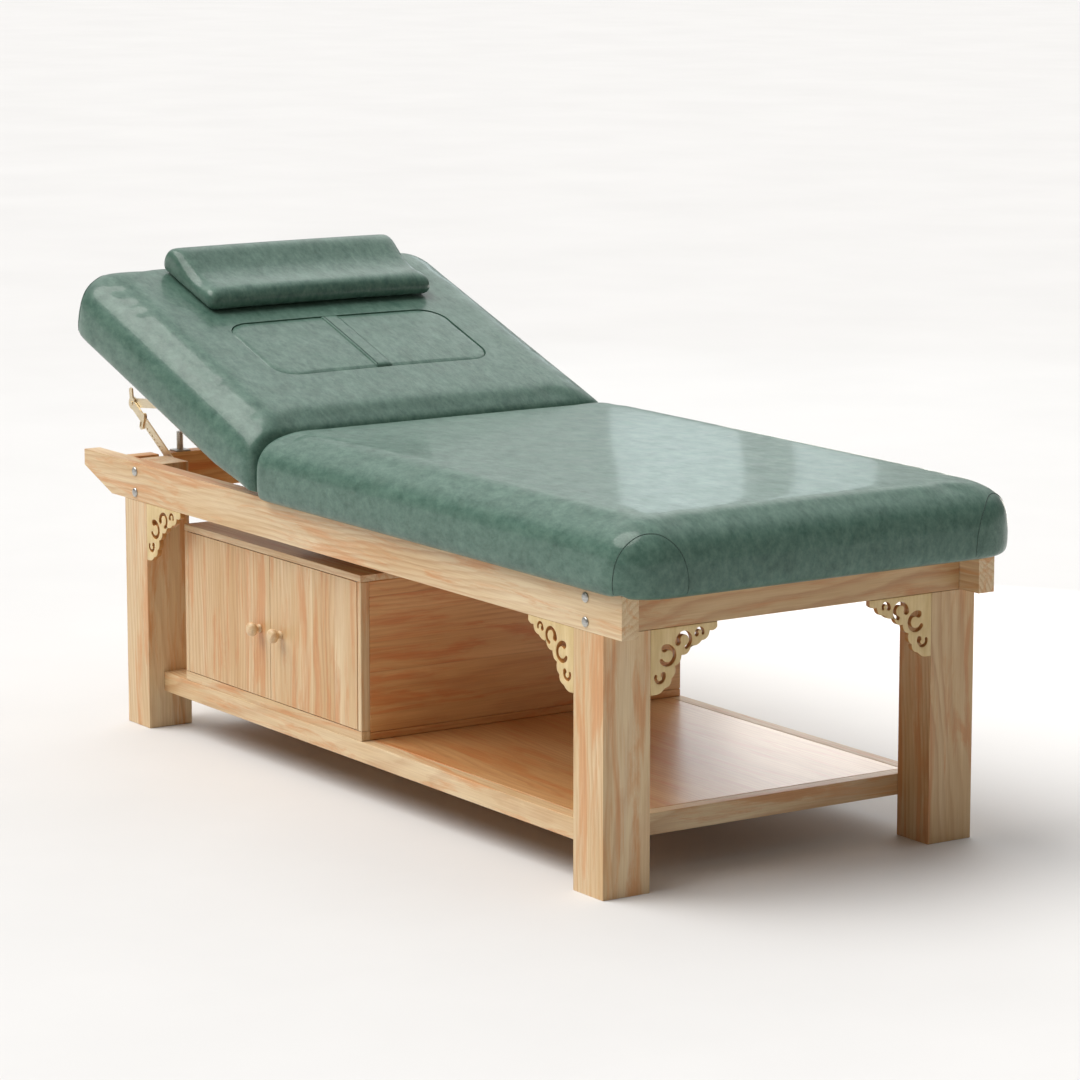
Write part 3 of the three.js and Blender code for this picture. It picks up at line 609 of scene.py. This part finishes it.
# ---- cushions ------------------------------------------------------------------------------------
PAD_CORNER = 0.080  # plan radius of the free corners
PAD_HINGE_CORNER = 0.016
EDGE = {"side": 0.064, "free_end": 0.056, "high": 0.056, "bottom": 0.009}
HINGE_EDGE = {"seat": 0.013, "back": 0.008}
SWELL = 0.009  # how much the stuffing may push out the cover
CROWN = 0.005  # how much a pad's middle is domed
PAD_LIFT = 0.0006  # room between a piece and what it lies on
VOXEL = {"pad": 0.008, "small": 0.0045, "insert": 0.0032}
HELD_BAND = 0.006  # height of the bottom of a pad that is held while it swells
RAIL_SIDE, RAIL_FOOT = 0.384, 0.888  # a cover hangs down outside these
SKIRT = {"seat": 0.006, "back": 0.010}  # how far it hangs down there
SKIRT_HEIGHT = 0.04  # the part of a cover that is drawn down with its rim
SEAM = {"radius": 0.0009, "roundness": 2.5, "steps": 72, "above_bottom": 0.004, "below_top": 0.019}


def plan_outline(x_low, x_high, y_low, y_high, low_radius, high_radius, arc_steps=10, side_steps=24):
    """Points round a plan rectangle with rounded corners, always the same number of them."""
    corners = [
        (x_high - high_radius, y_high - high_radius, high_radius, 0),
        (x_low + low_radius, y_high - low_radius, low_radius, 90),
        (x_low + low_radius, y_low + low_radius, low_radius, 180),
        (x_high - high_radius, y_low + high_radius, high_radius, 270),
    ]
    arcs = []
    for x, y, radius, start in corners:
        angles = [math.radians(start) + angle for angle in quarter(arc_steps)]
        arcs.append([Vector((x + radius * math.cos(a), y + radius * math.sin(a), 0)) for a in angles])
    points = []
    for arc, following in zip(arcs, [*arcs[1:], arcs[0]]):
        side = (arc[-1].lerp(following[0], k / side_steps) for k in range(1, side_steps))
        points += [*arc, *side]
    return points


def pad_rings(x_range, y_range, bottom, top, hinge_edge, low_is_hinge, lean):
    """The layers of a big pad. lean moves the hinge end along X for each metre of height over the bottom."""
    below, above = (EDGE["bottom"],) * 3, (EDGE["side"], EDGE["free_end"], hinge_edge)
    layers = [(bottom + EDGE["bottom"] * (1 - math.cos(a)), 1 - math.sin(a), below) for a in quarter(4)]
    layers += [(top - EDGE["high"] * (1 - math.sin(a)), 1 - math.cos(a), above) for a in quarter(12)]
    rings = []
    for z, share, edges in layers:
        side, free, hinge = (edge * share for edge in edges)
        shift = lean * max(z - bottom, 0)
        radii = [max(PAD_HINGE_CORNER - side * 0.1, 0.010), max(PAD_CORNER - side, 0.012)]
        if low_is_hinge:
            x_low, x_high = x_range[0] + hinge + shift, x_range[1] - free
        else:
            x_low, x_high = x_range[0] + free, x_range[1] - hinge - shift
            radii.reverse()
        outline = plan_outline(x_low, x_high, y_range[0] + side, y_range[1] - side, *radii)
        rings.append([p + Vector((0, 0, z)) for p in outline])
    return rings


def flat_dome(values, low, high):
    """1 in the middle between low and high, falling to 0 close to them."""
    return np.clip(1 - ((2 * values - low - high) / (high - low)) ** 4, 0, 1)


def crown(obj, x_range, y_range, bottom, top, rise):
    """Domes the upper side of a pad by rise in its middle."""
    points = coordinates(obj)
    along = flat_dome(points[:, 0], *x_range)
    across = np.clip(1 - (2 * (points[:, 1] - y_range[0]) / (y_range[1] - y_range[0]) - 1) ** 2, 0, 1)
    level = np.clip((points[:, 2] - bottom) / (top - bottom), 0, 1)
    points[:, 2] += rise * along * across * level ** 2
    set_coordinates(obj, points)


def make_pad(name, x_range, y_range, z_range, hinge_edge, low_is_hinge, lean=0.0):
    bottom, top = z_range[0] + PAD_LIFT, z_range[1] - SWELL * 0.7
    pad = loft(name, pad_rings(x_range, y_range, bottom, top, hinge_edge, low_is_hinge, lean))
    remesh(pad, VOXEL["pad"])
    relax(pad, 6)
    puff(pad, SWELL, bottom + HELD_BAND)
    relax(pad, 3)
    crown(pad, x_range, y_range, bottom, top, CROWN)
    return subdivide(pad)


def hang_skirt(points, bottom, drop, outside):
    """Keeps a pad's underside on what carries it, and lets its rim hang down by drop where outside is 1."""
    points[:, 2] -= drop * outside * np.clip((bottom + SKIRT_HEIGHT - points[:, 2]) / SKIRT_HEIGHT, 0, 1)
    points[:, 2] = np.maximum(points[:, 2], bottom + 0.0004 - drop * outside)


def seat_cushion(material):
    low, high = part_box("seat_cushion")
    x_range = (low.x, high.x + 0.002)
    y_range = (low.y - 0.004, high.y + 0.002)
    pad = make_pad("seat_pad", x_range, y_range, (low.z, high.z), HINGE_EDGE["seat"], True)
    points = coordinates(pad)
    points[:, 0] = np.maximum(points[:, 0], low.x)
    past_sides, past_foot = (np.abs(points[:, 1]) - RAIL_SIDE) / 0.010, (points[:, 0] - RAIL_FOOT) / 0.012
    hang_skirt(points, low.z, SKIRT["seat"], np.clip(np.maximum(past_sides, past_foot), 0, 1))
    set_coordinates(pad, points)
    smooth_shade(pad)
    finish_piece(pad, "frame", material)
    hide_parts("seat_cushion")
    return pad


def corner_seam(name, tree, centre, angles, z_range, body, thread, place=Matrix.Identity(4)):
    """The seam round a corner patch: up one side, over the corner in an arch, and down the other."""
    start, end = (math.radians(a) for a in angles)
    z_low, z_high = z_range[0] + SEAM["above_bottom"], z_range[1] - SEAM["below_top"]
    roundness = SEAM["roundness"]
    path = []
    for k in range(SEAM["steps"] + 1):
        along = -math.cos(math.pi * k / SEAM["steps"])
        angle = start + (end - start) * (along + 1) / 2
        z = z_low + (z_high - z_low) * (1 - abs(along) ** roundness) ** (1 / roundness)
        out = Vector((math.cos(angle), math.sin(angle), 0))
        hit = tree.ray_cast(Vector((*centre, z)) + out * 0.3, -out)[0]
        if hit:
            path.append(place @ (hit - out * 0.0001))
    finish_piece(tube(name, path, SEAM["radius"]), body, thread)


def seat_seams(pad, thread):
    tree = tree_of(pad)
    low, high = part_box("seat_cushion")
    for where, side in SIDES.items():
        centre = (high.x - PAD_CORNER, side * (high.y - PAD_CORNER))
        angles = (side * 74, side * -19)
        corner_seam(f"seat_corner_seam_{where}", tree, centre, angles, (low.z, high.z), "frame", thread)


# ---- back rest, insert, strap and pillow: made flat in the back rest's frame, then tilted --------
INSERT_LOW, INSERT_HIGH = flat_box("face_insert")
STRAP_LOW, STRAP_HIGH = flat_box("insert_strap")
BACK_LOW, BACK_HIGH = flat_box("backrest_cushion")
PILLOW_LOW, PILLOW_HIGH = flat_box("pillow")
HINGE_FILL = 0.0045  # how much fuller the cover is where it meets the seat
HEAD_OVERHANG = 0.032  # how far the stuffed cover reaches past the board at the head end
BACK_SIDES = (BACK_LOW.y - 0.006, BACK_HIGH.y - 0.011)  # the cover sits a little towards the near side
INSERT_CORNER = 0.048
INSERT_EDGE = 0.0016
POCKET_GAP = 0.0004
FACE_HOLE = (0.078, 0.104)  # half the oval's length and width
UNDERSIDE = -0.05  # where the tools that cut into the underside start
POST_ROOM = {"half": 0.0125, "corner": 0.006, "top": 0.045}
HOOK_ROOM = {"x": (-0.7235, -0.6725), "y": (0.2655, 0.2935), "corner": 0.004, "top": 0.0215}
STRAP = {"thick": 0.0034, "end_gap": 0.0012, "tuck": 0.007, "tuck_length": 0.006}


def tilted(obj):
    obj.data.transform(TILT)
    obj.data.update()
    return obj


def prism(name, outline, z_low, z_high):
    return loft(name, [[Vector((p.x, p.y, z)) for p in outline] for z in (z_low, z_high)])


def insert_outline(clearance):
    low, high = INSERT_LOW, INSERT_HIGH
    return plan_outline(low.x - clearance, high.x + clearance, low.y - clearance, high.y + clearance,
                        INSERT_CORNER, INSERT_CORNER, 12, 20)


def face_hole_outline():
    box = [o for o in frame["record"]["physics"]["openings"] if o["name"] == "face_hole"][0]["box_m"]
    centre = UNTILT @ ((Vector(box[0]) + Vector(box[1])) / 2)
    return [Vector((centre.x + FACE_HOLE[0] * math.cos(a), centre.y + FACE_HOLE[1] * math.sin(a), 0))
            for a in (2 * math.pi * k / 48 for k in range(48))]


def small_pockets():
    """Rooms cut into the underside: the post's socket, and one for the hooked end of each stay."""
    post_low, post_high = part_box("locating_post")
    x, y = (post_low.x + post_high.x) / 2 - HINGE.x, (post_low.y + post_high.y) / 2
    half, corner = POST_ROOM["half"], POST_ROOM["corner"]
    socket = plan_outline(x - half, x + half, y - half, y + half, corner, corner)
    made = [prism("socket", socket, UNDERSIDE, POST_ROOM["top"])]
    for side in SIDES.values():
        y_range = sorted(side * y for y in HOOK_ROOM["y"])
        room = plan_outline(*HOOK_ROOM["x"], *y_range, HOOK_ROOM["corner"], HOOK_ROOM["corner"])
        made.append(prism("hook_pocket", room, UNDERSIDE, HOOK_ROOM["top"]))
    return made


def backrest_cushion(material):
    """The tilted pad with its soft hinge end. Returns the search tree of its uncut cover, still flat."""
    low, high = BACK_LOW, BACK_HIGH
    slope = math.tan(REST_ANGLE)
    x_range = (low.x - HEAD_OVERHANG, -0.0012)
    pad = make_pad("backrest_pad", x_range, BACK_SIDES, (low.z, high.z), HINGE_EDGE["back"], False, slope)
    points = coordinates(pad)
    level = np.clip((points[:, 2] - low.z) / (high.z - low.z), 0, 1)
    points[:, 2] += HINGE_FILL * np.clip((points[:, 0] + 0.036) / 0.024, 0, 1) * level ** 3
    seat_side = -np.maximum(points[:, 2], 0) * slope - 0.0010
    points[:, 0] = np.minimum(points[:, 0], seat_side)
    past_sides = np.clip((np.abs(points[:, 1]) - RAIL_SIDE) / 0.008, 0, 1)
    hang_skirt(points, low.z, SKIRT["back"], past_sides * np.clip((-0.05 - points[:, 0]) / 0.10, 0, 1))
    set_coordinates(pad, points)
    cover = tree_of(pad)
    pocket = prism("pocket", insert_outline(POCKET_GAP), INSERT_LOW.z - 0.001, 0.2)
    hole = prism("hole", face_hole_outline(), UNDERSIDE, INSERT_LOW.z + 0.01)
    carve(pad, pocket, hole, *small_pockets())
    smooth_shade(pad, 50)
    tilted(pad)
    rest = pad.data.attributes.new(REST_PLACE, "FLOAT_VECTOR", "POINT")
    rest.data.foreach_set("vector", coordinates(pad).ravel())
    finish_piece(pad, None, material)
    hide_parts("backrest_cushion", "backrest_crease_foam")
    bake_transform(pad)
    return cover


def backrest_seams(cover, thread):
    z_range = (BACK_LOW.z, BACK_HIGH.z)
    for (where, side), edge in zip(SIDES.items(), BACK_SIDES):
        centre = (BACK_LOW.x - HEAD_OVERHANG + PAD_CORNER, edge - side * PAD_CORNER)
        angles = (180 - side * 74, 180 + side * 19)
        corner_seam(f"backrest_corner_seam_{where}", cover, centre, angles, z_range, "backrest", thread, TILT)


def face_insert(material, cover):
    """The lift-out pad, its upper side following the cover round it. Returns its search tree, still flat."""
    low, high = INSERT_LOW, INSERT_HIGH
    layers = [(low.z, 0.0), (high.z - INSERT_EDGE - 0.012, 0.0)]
    edge = INSERT_EDGE
    layers += [(high.z - edge * (1 - math.sin(a)), edge * (1 - math.cos(a))) for a in quarter(9)]
    rings = [[p + Vector((0, 0, z)) for p in insert_outline(0.0006 - inset)] for z, inset in layers]
    pad = loft("face_insert_pad", rings)
    remesh(pad, VOXEL["insert"])
    relax(pad, 1)
    puff(pad, 0.0012, low.z + 0.02)
    points = coordinates(pad)
    for point in points:
        rise = height_over(cover, point[0], point[1], high.z) - high.z
        point[2] += rise * min(max((point[2] - low.z - 0.01) / 0.03, 0), 1)
    dome = flat_dome(points[:, 0], low.x, high.x) * flat_dome(points[:, 1], low.y, high.y)
    points[:, 2] += np.where(points[:, 2] > high.z - 0.01, 0.0012 * dome - 0.0006, 0)
    set_coordinates(pad, points)
    subdivide(pad)
    shape = tree_of(pad)
    smooth_shade(pad)
    tilted(pad)
    finish_piece(pad, "face_insert", material)
    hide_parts("face_insert")
    return shape


def insert_strap(material, thread, surface):
    """A flat pull strap laid across the insert, its ends tucked down into the gap round it."""
    x_low, x_high = INSERT_LOW.x + STRAP["end_gap"], INSERT_HIGH.x - STRAP["end_gap"]
    y_low, y_high = STRAP_LOW.y, STRAP_HIGH.y
    thick, tuck_length = STRAP["thick"], STRAP["tuck_length"]
    steps, across = 72, 12
    rings, rows = [], {"low": [], "high": []}
    for k in range(steps + 1):
        x = x_low + (x_high - x_low) * k / steps
        near_end = min(x - x_low, x_high - x)
        dip = STRAP["tuck"] * max(0.0, 1 - near_end / tuck_length) ** 2
        over_x = min(max(x, x_low + tuck_length), x_high - tuck_length)
        ring = []
        for i in range(across + 1):
            y = y_low + (y_high - y_low) * i / across
            edge = min(i, across - i) / across
            swell = thick * (0.45 + 0.55 * min(edge * 8, 1) ** 0.5)
            ring.append(Vector((x, y, height_over(surface, over_x, y, INSERT_HIGH.z) + swell - dip)))
        base = [Vector((p.x, p.y, p.z - thick * 0.9)) for p in reversed(ring)]
        rings.append([*ring, *base])
        if near_end > 0.004:
            for name, i, inwards in (("low", 1, 0.0006), ("high", across - 1, -0.0006)):
                rows[name].append(ring[i] + Vector((0, inwards, 0.0002)))
    strap = tilted(smooth_shade(loft("insert_pull_strap", rings), 60))
    finish_piece(strap, "face_insert", material)
    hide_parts("insert_strap")
    # A dark thread cord along the strap's low edge: a seam there, made dark and unbroken as a painted shadow line
    # beside the strap.
    seam_and_shadow = tilted(tube("strap_seam_and_painted_shadow", rows["low"], 0.0008))
    finish_piece(seam_and_shadow, "face_insert", thread)
    line = tilted(stitches("strap_stitches", rows["high"], 0.005, 0.62, 0.00030))
    finish_piece(line, "face_insert", material)


# The pillow's section: distance from its neck-side edge towards the head, and height over what it lies on.
PILLOW_SECTION = [
    (0.012, 0.0), (0.002, 0.008), (0.0, 0.019), (0.006, 0.031), (0.020, 0.0385), (0.040, 0.0375), (0.068, 0.035),
    (0.100, 0.0375), (0.130, 0.046), (0.155, 0.0545), (0.175, 0.057), (0.192, 0.052), (0.203, 0.040),
    (0.208, 0.026), (0.206, 0.010), (0.196, 0.0), (0.150, -0.0005), (0.100, -0.0005), (0.050, -0.0005),
]
PILLOW_BASE = BACK_HIGH.z
PILLOW_EDGE = 0.015  # radius of the rounding towards the two ends
PILLOW_Y = (PILLOW_LOW.y + 0.001, PILLOW_HIGH.y + 0.007)
PILLOW_X = PILLOW_HIGH.x + 0.006


def curve_stretch(corners, steps):
    """Points of the Catmull-Rom curve between the middle two of four corners, without the last."""
    p0, p1, p2, p3 = map(Vector, corners)
    return [0.5 * (2 * p1 + (p2 - p0) * t + (2 * p0 - 5 * p1 + 4 * p2 - p3) * t ** 2
                   + (3 * p1 - p0 - 3 * p2 + p3) * t ** 3) for t in (k / steps for k in range(steps))]


def closed_curve(points, steps):
    looped = [points[-1], *points, *points[:2]]
    return [p for i in range(len(points)) for p in curve_stretch(looped[i:i + 4], steps)]


def open_curve(points, steps):
    padded = [points[0], *points, points[-1]]
    made = [p for i in range(len(points) - 1) for p in curve_stretch(padded[i:i + 4], steps)]
    return [*made, Vector(points[-1])]


def pillow_rings():
    """The pillow's section at each place along its length, drawn in towards the ends."""
    section = closed_curve(PILLOW_SECTION, 4)
    shifted = [*section[1:], section[0]]
    area = sum(a.x * b.y - b.x * a.y for a, b in zip(section, shifted))
    turn = 1 if area > 0 else -1
    inward = []
    for before, after in zip([section[-1], *section[:-1]], shifted):
        along = (after - before).normalized()
        inward.append(Vector((-along.y, along.x)) * turn)
    y_low, y_high = PILLOW_Y
    edge = PILLOW_EDGE
    first = [(y_low + edge * (1 - math.cos(a)), edge * (1 - math.sin(a))) for a in quarter(8)]
    body = [(y_low + edge + (y_high - y_low - 2 * edge) * k / 24, 0.0) for k in range(1, 24)]
    last = [(y_high - (y - y_low), inset) for y, inset in reversed(first)]
    rings = []
    for y, inset in [*first, *body, *last]:
        drawn_in = (p + n * (inset * 0.95 + 0.0018) for p, n in zip(section, inward))
        rings.append([Vector((PILLOW_X - q.x, y, PILLOW_BASE + max(q.y, 0.0))) for q in drawn_in])
    return rings


def pillow(material, cover):
    pad = loft("neck_pillow", pillow_rings())
    remesh(pad, VOXEL["small"])
    relax(pad, 3)
    puff(pad, 0.0045, PILLOW_BASE + 0.004)
    relax(pad, 1)
    points = coordinates(pad)
    for point in points:
        lift = height_over(cover, point[0], point[1], PILLOW_BASE) - PILLOW_BASE
        point[2] = max(point[2], PILLOW_BASE) + lift + PAD_LIFT
    set_coordinates(pad, points)
    subdivide(pad)
    smooth_shade(pad)
    tilted(pad)
    finish_piece(pad, "pillow", material)
    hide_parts("pillow")


# ---- fretwork ------------------------------------------------------------------------------------
# One bracket with its corner at the origin: the rail side runs out along +U, the leg side down -V (metres).
FRET_EDGE = [  # lobes of the free edge: a control point, then the end of the curve
    ((0.125, -0.016), (0.117, -0.013)), ((0.115, -0.028), (0.101, -0.028)), ((0.092, -0.038), (0.080, -0.034)),
    ((0.076, -0.050), (0.061, -0.048)), ((0.060, -0.062), (0.048, -0.064)), ((0.052, -0.078), (0.041, -0.084)),
    ((0.042, -0.097), (0.028, -0.099)), ((0.020, -0.108), (0.010, -0.108)),
]
FRET_WIDE, FRET_HIGH, FRET_STEM = 0.132, 0.108, 0.009
FRET_EASE = 0.0008
FRET_SCROLLS = [  # centre, radius, slot width, first angle, sweep
    ((0.097, -0.014), 0.0066, 0.0044, -0.4, 3.9),
    ((0.066, -0.024), 0.0125, 0.0062, -1.2, 4.5),
    ((0.033, -0.046), 0.0140, 0.0068, -2.6, 4.6),
    ((0.018, -0.080), 0.0082, 0.0052, -3.5, 4.0),
]


def fret_outline():
    points = [Vector((0, 0)), Vector((FRET_WIDE, 0)), Vector((FRET_WIDE, -FRET_STEM))]
    for control, end in FRET_EDGE:
        start, control, end = points[-1], Vector(control), Vector(end)
        for k in range(1, 9):
            t = k / 8
            points.append(start * (1 - t) ** 2 + control * 2 * t * (1 - t) + end * t * t)
    return [*points, Vector((0, -FRET_HIGH))]


def scroll_outline(centre, radius, slot, start, sweep):
    """A comma-shaped slot: an arc that swells into a round eye at its end."""
    steps, outer, inner = 28, [], []
    centre = Vector(centre)
    for k in range(steps + 1):
        share = k / steps
        half = slot / 2 * (1 + 0.8 * max(0.0, (share - 0.72) / 0.28) ** 1.5)
        out = Vector((math.cos(start + sweep * share), math.sin(start + sweep * share)))
        outer.append(centre + out * (radius + half))
        inner.append(centre + out * (radius - half))
    ends = []
    for tip, toward in ((1.0, 1), (0.0, -1)):
        angle = start + sweep * tip
        half = slot / 2 * (1.8 if tip else 1.0)
        middle = centre + Vector((math.cos(angle), math.sin(angle))) * radius
        ends.append([middle + Vector((math.cos(angle + toward * a), math.sin(angle + toward * a))) * half
                     for a in (math.pi * k / 8 for k in range(1, 8))])
    return [*outer, *ends[0], *reversed(inner), *reversed(ends[1])]


def add_spline(curve, points):
    spline = curve.splines.new("POLY")
    spline.points.add(len(points) - 1)
    for target, point in zip(spline.points, points):
        target.co = (point.x, point.y, 0, 1)
    spline.use_cyclic_u = True


def sawn_plate(name, thickness):
    """The bracket as a flat plate with eased edges."""
    curve = bpy.data.curves.new("fret", "CURVE")
    curve.dimensions = "2D"
    curve.fill_mode = "BOTH"
    curve.extrude = thickness / 2 - FRET_EASE
    curve.bevel_depth = FRET_EASE
    curve.bevel_resolution = 2
    curve.offset = -FRET_EASE
    add_spline(curve, fret_outline())
    for scroll in FRET_SCROLLS:
        add_spline(curve, scroll_outline(*scroll))
    drawn = add_object("fret_drawing", curve)
    bpy.context.view_layer.update()
    mesh = bpy.data.meshes.new_from_object(drawn.evaluated_get(bpy.context.evaluated_depsgraph_get()))
    bpy.data.objects.remove(drawn)
    return make_solid(add_object(name, mesh))


def fret_plate(node, material):
    """A sawn bracket, standing where its CAD node stands."""
    low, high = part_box(node)
    along_x = "side" in node
    plate = sawn_plate(node.replace("fret", "fret_plate", 1), high.y - low.y if along_x else high.x - low.x)
    mesh = plate.data
    middle = (low + high) / 2
    if along_x:
        run = 1 if "head" in node else -1
        axes = Matrix(((run, 0, 0), (0, 0, run), (0, 1, 0))).to_4x4()
        corner = Vector((low.x if run > 0 else high.x, middle.y, high.z))
    else:
        run = 1 if "near" in node else -1
        axes = Matrix(((0, 0, run), (run, 0, 0), (0, 1, 0))).to_4x4()
        corner = Vector((middle.x, low.y if run > 0 else high.y, high.z))
    mesh.transform(Matrix.Translation(corner) @ axes)
    if axes.determinant() < 0:
        mesh.flip_normals()
    smooth_shade(plate, 40)
    finish_piece(plate, "frame", material)
    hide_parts(node)


def add_fretwork():
    along, across = fretwork_wood("fretwork_side", "Y"), fretwork_wood("fretwork_end", "X")
    for node in sorted(NODES):
        if node.startswith("fret_"):
            fret_plate(node, along if "side" in node else across)


# ---- turned knobs and bolt heads -----------------------------------------------------------------
def circle(place, axis, radius, steps):
    """Points round axis at place, evenly spaced."""
    side = Vector(axis).orthogonal().normalized()
    other = Vector(axis).cross(side)
    angles = (2 * math.pi * k / steps for k in range(steps))
    return [place + (side * math.cos(a) + other * math.sin(a)) * radius for a in angles]


def lathe(name, profile, place, axis, steps):
    """A closed solid of revolution. profile is a list of (radius, distance along the axis from place)."""
    return loft(name, [circle(place + Vector(axis) * out, axis, radius, steps) for radius, out in profile])


KNOB_PROFILE = [  # radius and distance from the door, as turned
    (0.0080, 0.0), (0.0078, 0.0016), (0.0066, 0.0036), (0.0060, 0.0062), (0.0070, 0.0084), (0.0100, 0.0106),
    (0.0124, 0.0134), (0.0134, 0.0166), (0.0131, 0.0192), (0.0118, 0.0218), (0.0092, 0.0238), (0.0054, 0.0248),
    (0.0014, 0.0250),
]


def add_knobs(material):
    for hand in ("left", "right"):
        low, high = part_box(f"knob_{hand}")
        middle = (low + high) / 2
        place = Vector((middle.x, high.y, middle.z))
        knob = lathe(f"turned_knob_{hand}", open_curve(KNOB_PROFILE, 3), place, (0, -1, 0), 40)
        smooth_shade(knob, 60)
        finish_piece(knob, f"door_{hand}", material)
        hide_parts(f"knob_{hand}")


BOLT_PROFILE = [  # radius and distance from the rail
    (0.0084, 0.0), (0.0087, 0.0004), (0.0087, 0.0010), (0.0083, 0.0018), (0.0072, 0.0027), (0.0056, 0.0034),
    (0.0040, 0.0038),
]
SOCKET = {"radius": 0.0030, "depth": 0.0020}


def make_solid(obj):
    """Joins the points that coincide and turns every face outwards."""
    build = bmesh.new()
    build.from_mesh(obj.data)
    bmesh.ops.remove_doubles(build, verts=build.verts, dist=0.00002)
    bmesh.ops.recalc_face_normals(build, faces=build.faces)
    build.to_mesh(obj.data)
    build.free()
    return obj


def bolt_head(name, place, outward, material):
    """A button head with a hexagonal socket."""
    head = make_solid(lathe(name, BOLT_PROFILE, place, outward, 36))
    axis = Vector(outward)
    top = place + axis * BOLT_PROFILE[-1][1]
    ends = (top - axis * SOCKET["depth"], top + axis * 0.002)
    tool = make_solid(loft("socket_tool", [circle(end, outward, SOCKET["radius"], 6) for end in ends]))
    carve(head, tool)
    smooth_shade(head, 35)
    finish_piece(head, "frame", material)


def middle_of(values):
    return (min(values) + max(values)) / 2


def add_bolt_heads(material):
    """Two heads at each leg, over the plain heads of the CAD bolts."""
    for where, side in SIDES.items():
        rail_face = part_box(f"long_rail_{where}")[0 if side < 0 else 1].y
        for end, node in (("head", f"stay_anchor_{where}"), ("foot", f"rail_bolts_foot_{where}")):
            points = [v.co for v in NODES[node].data.vertices if abs(v.co.y) > abs(rail_face) + 0.003]
            split = middle_of([p.z for p in points])
            for name, upper in (("lower", False), ("upper", True)):
                group = [p for p in points if (p.z >= split) == upper]
                x, z = middle_of([p.x for p in group]), middle_of([p.z for p in group])
                place = Vector((x, rail_face + side * 0.0002, z))
                bolt_head(f"bolt_head_{end}_{where}_{name}", place, (0, side, 0), material)


# ---- finishes of the CAD nodes -------------------------------------------------------------------
EASED = {"pine": 0.0016, "plywood": 0.0006, "steel": 0.0005, "zinc_plated_steel": 0.0005}
GRAIN_EXCEPTIONS = {"cupboard_lid": "X", "cupboard_base": "Y", "door_left": "Z", "door_right": "Z"}
PLANKS = {  # width of the glued boards, and the axis they are counted along
    "door_left": (0.076, "Z"),
    "door_right": (0.076, "Z"),
    "shelf_board": (0.118, "Y"),
    "cupboard_lid": (0.115, "Y"),
    "cupboard_side_foot": (0.136, "Z"),
    "cupboard_side_head": (0.136, "Z"),
}
# Painted shade: tints that darken and warm the parts in shade under the bed or facing away from the light, in
# place of shade and warm bounce light.
PAINTED_SHADE_TINTS = {
    "cupboard_side_foot": (1.0, 0.76, 0.52),
    "cupboard_base": (1.0, 0.74, 0.50),
    "shelf_board": (1.0, 0.82, 0.64),
    "head_rail": (1.0, 0.80, 0.58),
    "foot_rail": (0.78, 0.70, 0.60),
    "leg_foot_far": (0.84, 0.78, 0.70),
}
GLOSS = {"shelf_board": 0.9, "cupboard_side_foot": 0.3}


def ease_edges(obj, width):
    """Rounds the sharp edges of a CAD node with modifiers, and leaves its mesh as it is."""
    weld = obj.modifiers.new("weld", "WELD")
    weld.merge_threshold = 0.00002
    flat = obj.modifiers.new("flat", "DECIMATE")
    flat.decimate_type = "DISSOLVE"
    flat.angle_limit = math.radians(0.8)
    ease = obj.modifiers.new("ease", "BEVEL")
    ease.width = width
    ease.segments = 2
    ease.limit_method = "ANGLE"
    ease.angle_limit = math.radians(42)
    ease.use_clamp_overlap = True
    obj.modifiers.new("shade", "WEIGHTED_NORMAL")


def longest_axis(node):
    low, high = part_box(node)
    return "XYZ"[max(range(3), key=lambda axis: high[axis] - low[axis])]


def finish_cad_nodes():
    slots = {row["node"]: row["material_slot"] for row in frame["record"]["subparts"]}
    shared = {
        "plywood": plywood(),
        "steel": metal("bright_steel", srgb(214, 214, 210), srgb(150, 150, 148)),
        "zinc_plated_steel": metal("zinc_plating", srgb(238, 226, 200), srgb(206, 188, 152)),
    }
    for number, node in enumerate(sorted(NODES)):
        obj, slot = NODES[node], slots[node]
        if slot == "pine":
            grain = GRAIN_EXCEPTIONS.get(node) or longest_axis(node)
            seed = 0.37 + number * 1.31
            # The painted shade tint of this part, if it has one.
            shade_tint, gloss = PAINTED_SHADE_TINTS.get(node, (1, 1, 1)), GLOSS.get(node, 0.12)
            material = pine(f"pine_{node}", grain, seed, *PLANKS.get(node, (None, "Y")), shade_tint, gloss=gloss)
        elif slot in shared:
            material = shared[slot]
        else:
            continue
        set_material(obj, material)
        ease_edges(obj, EASED[slot])
    return shared


# ---- everything ----------------------------------------------------------------------------------
add_camera()
add_studio()
add_floor()

SAGE = leather()
SAGE_BENDING = leather("sage_leather_bending", bends=True)
THREAD = thread_material()

seat_seams(seat_cushion(SAGE), THREAD)
BACK_COVER = backrest_cushion(SAGE_BENDING)
backrest_seams(BACK_COVER, THREAD)
insert_strap(SAGE, THREAD, face_insert(SAGE, BACK_COVER))
pillow(SAGE, BACK_COVER)

add_fretwork()
METALS = finish_cad_nodes()
add_knobs(pine("pine_knob", "Y", 4.4, flame=0.15))
add_bolt_heads(METALS["steel"])
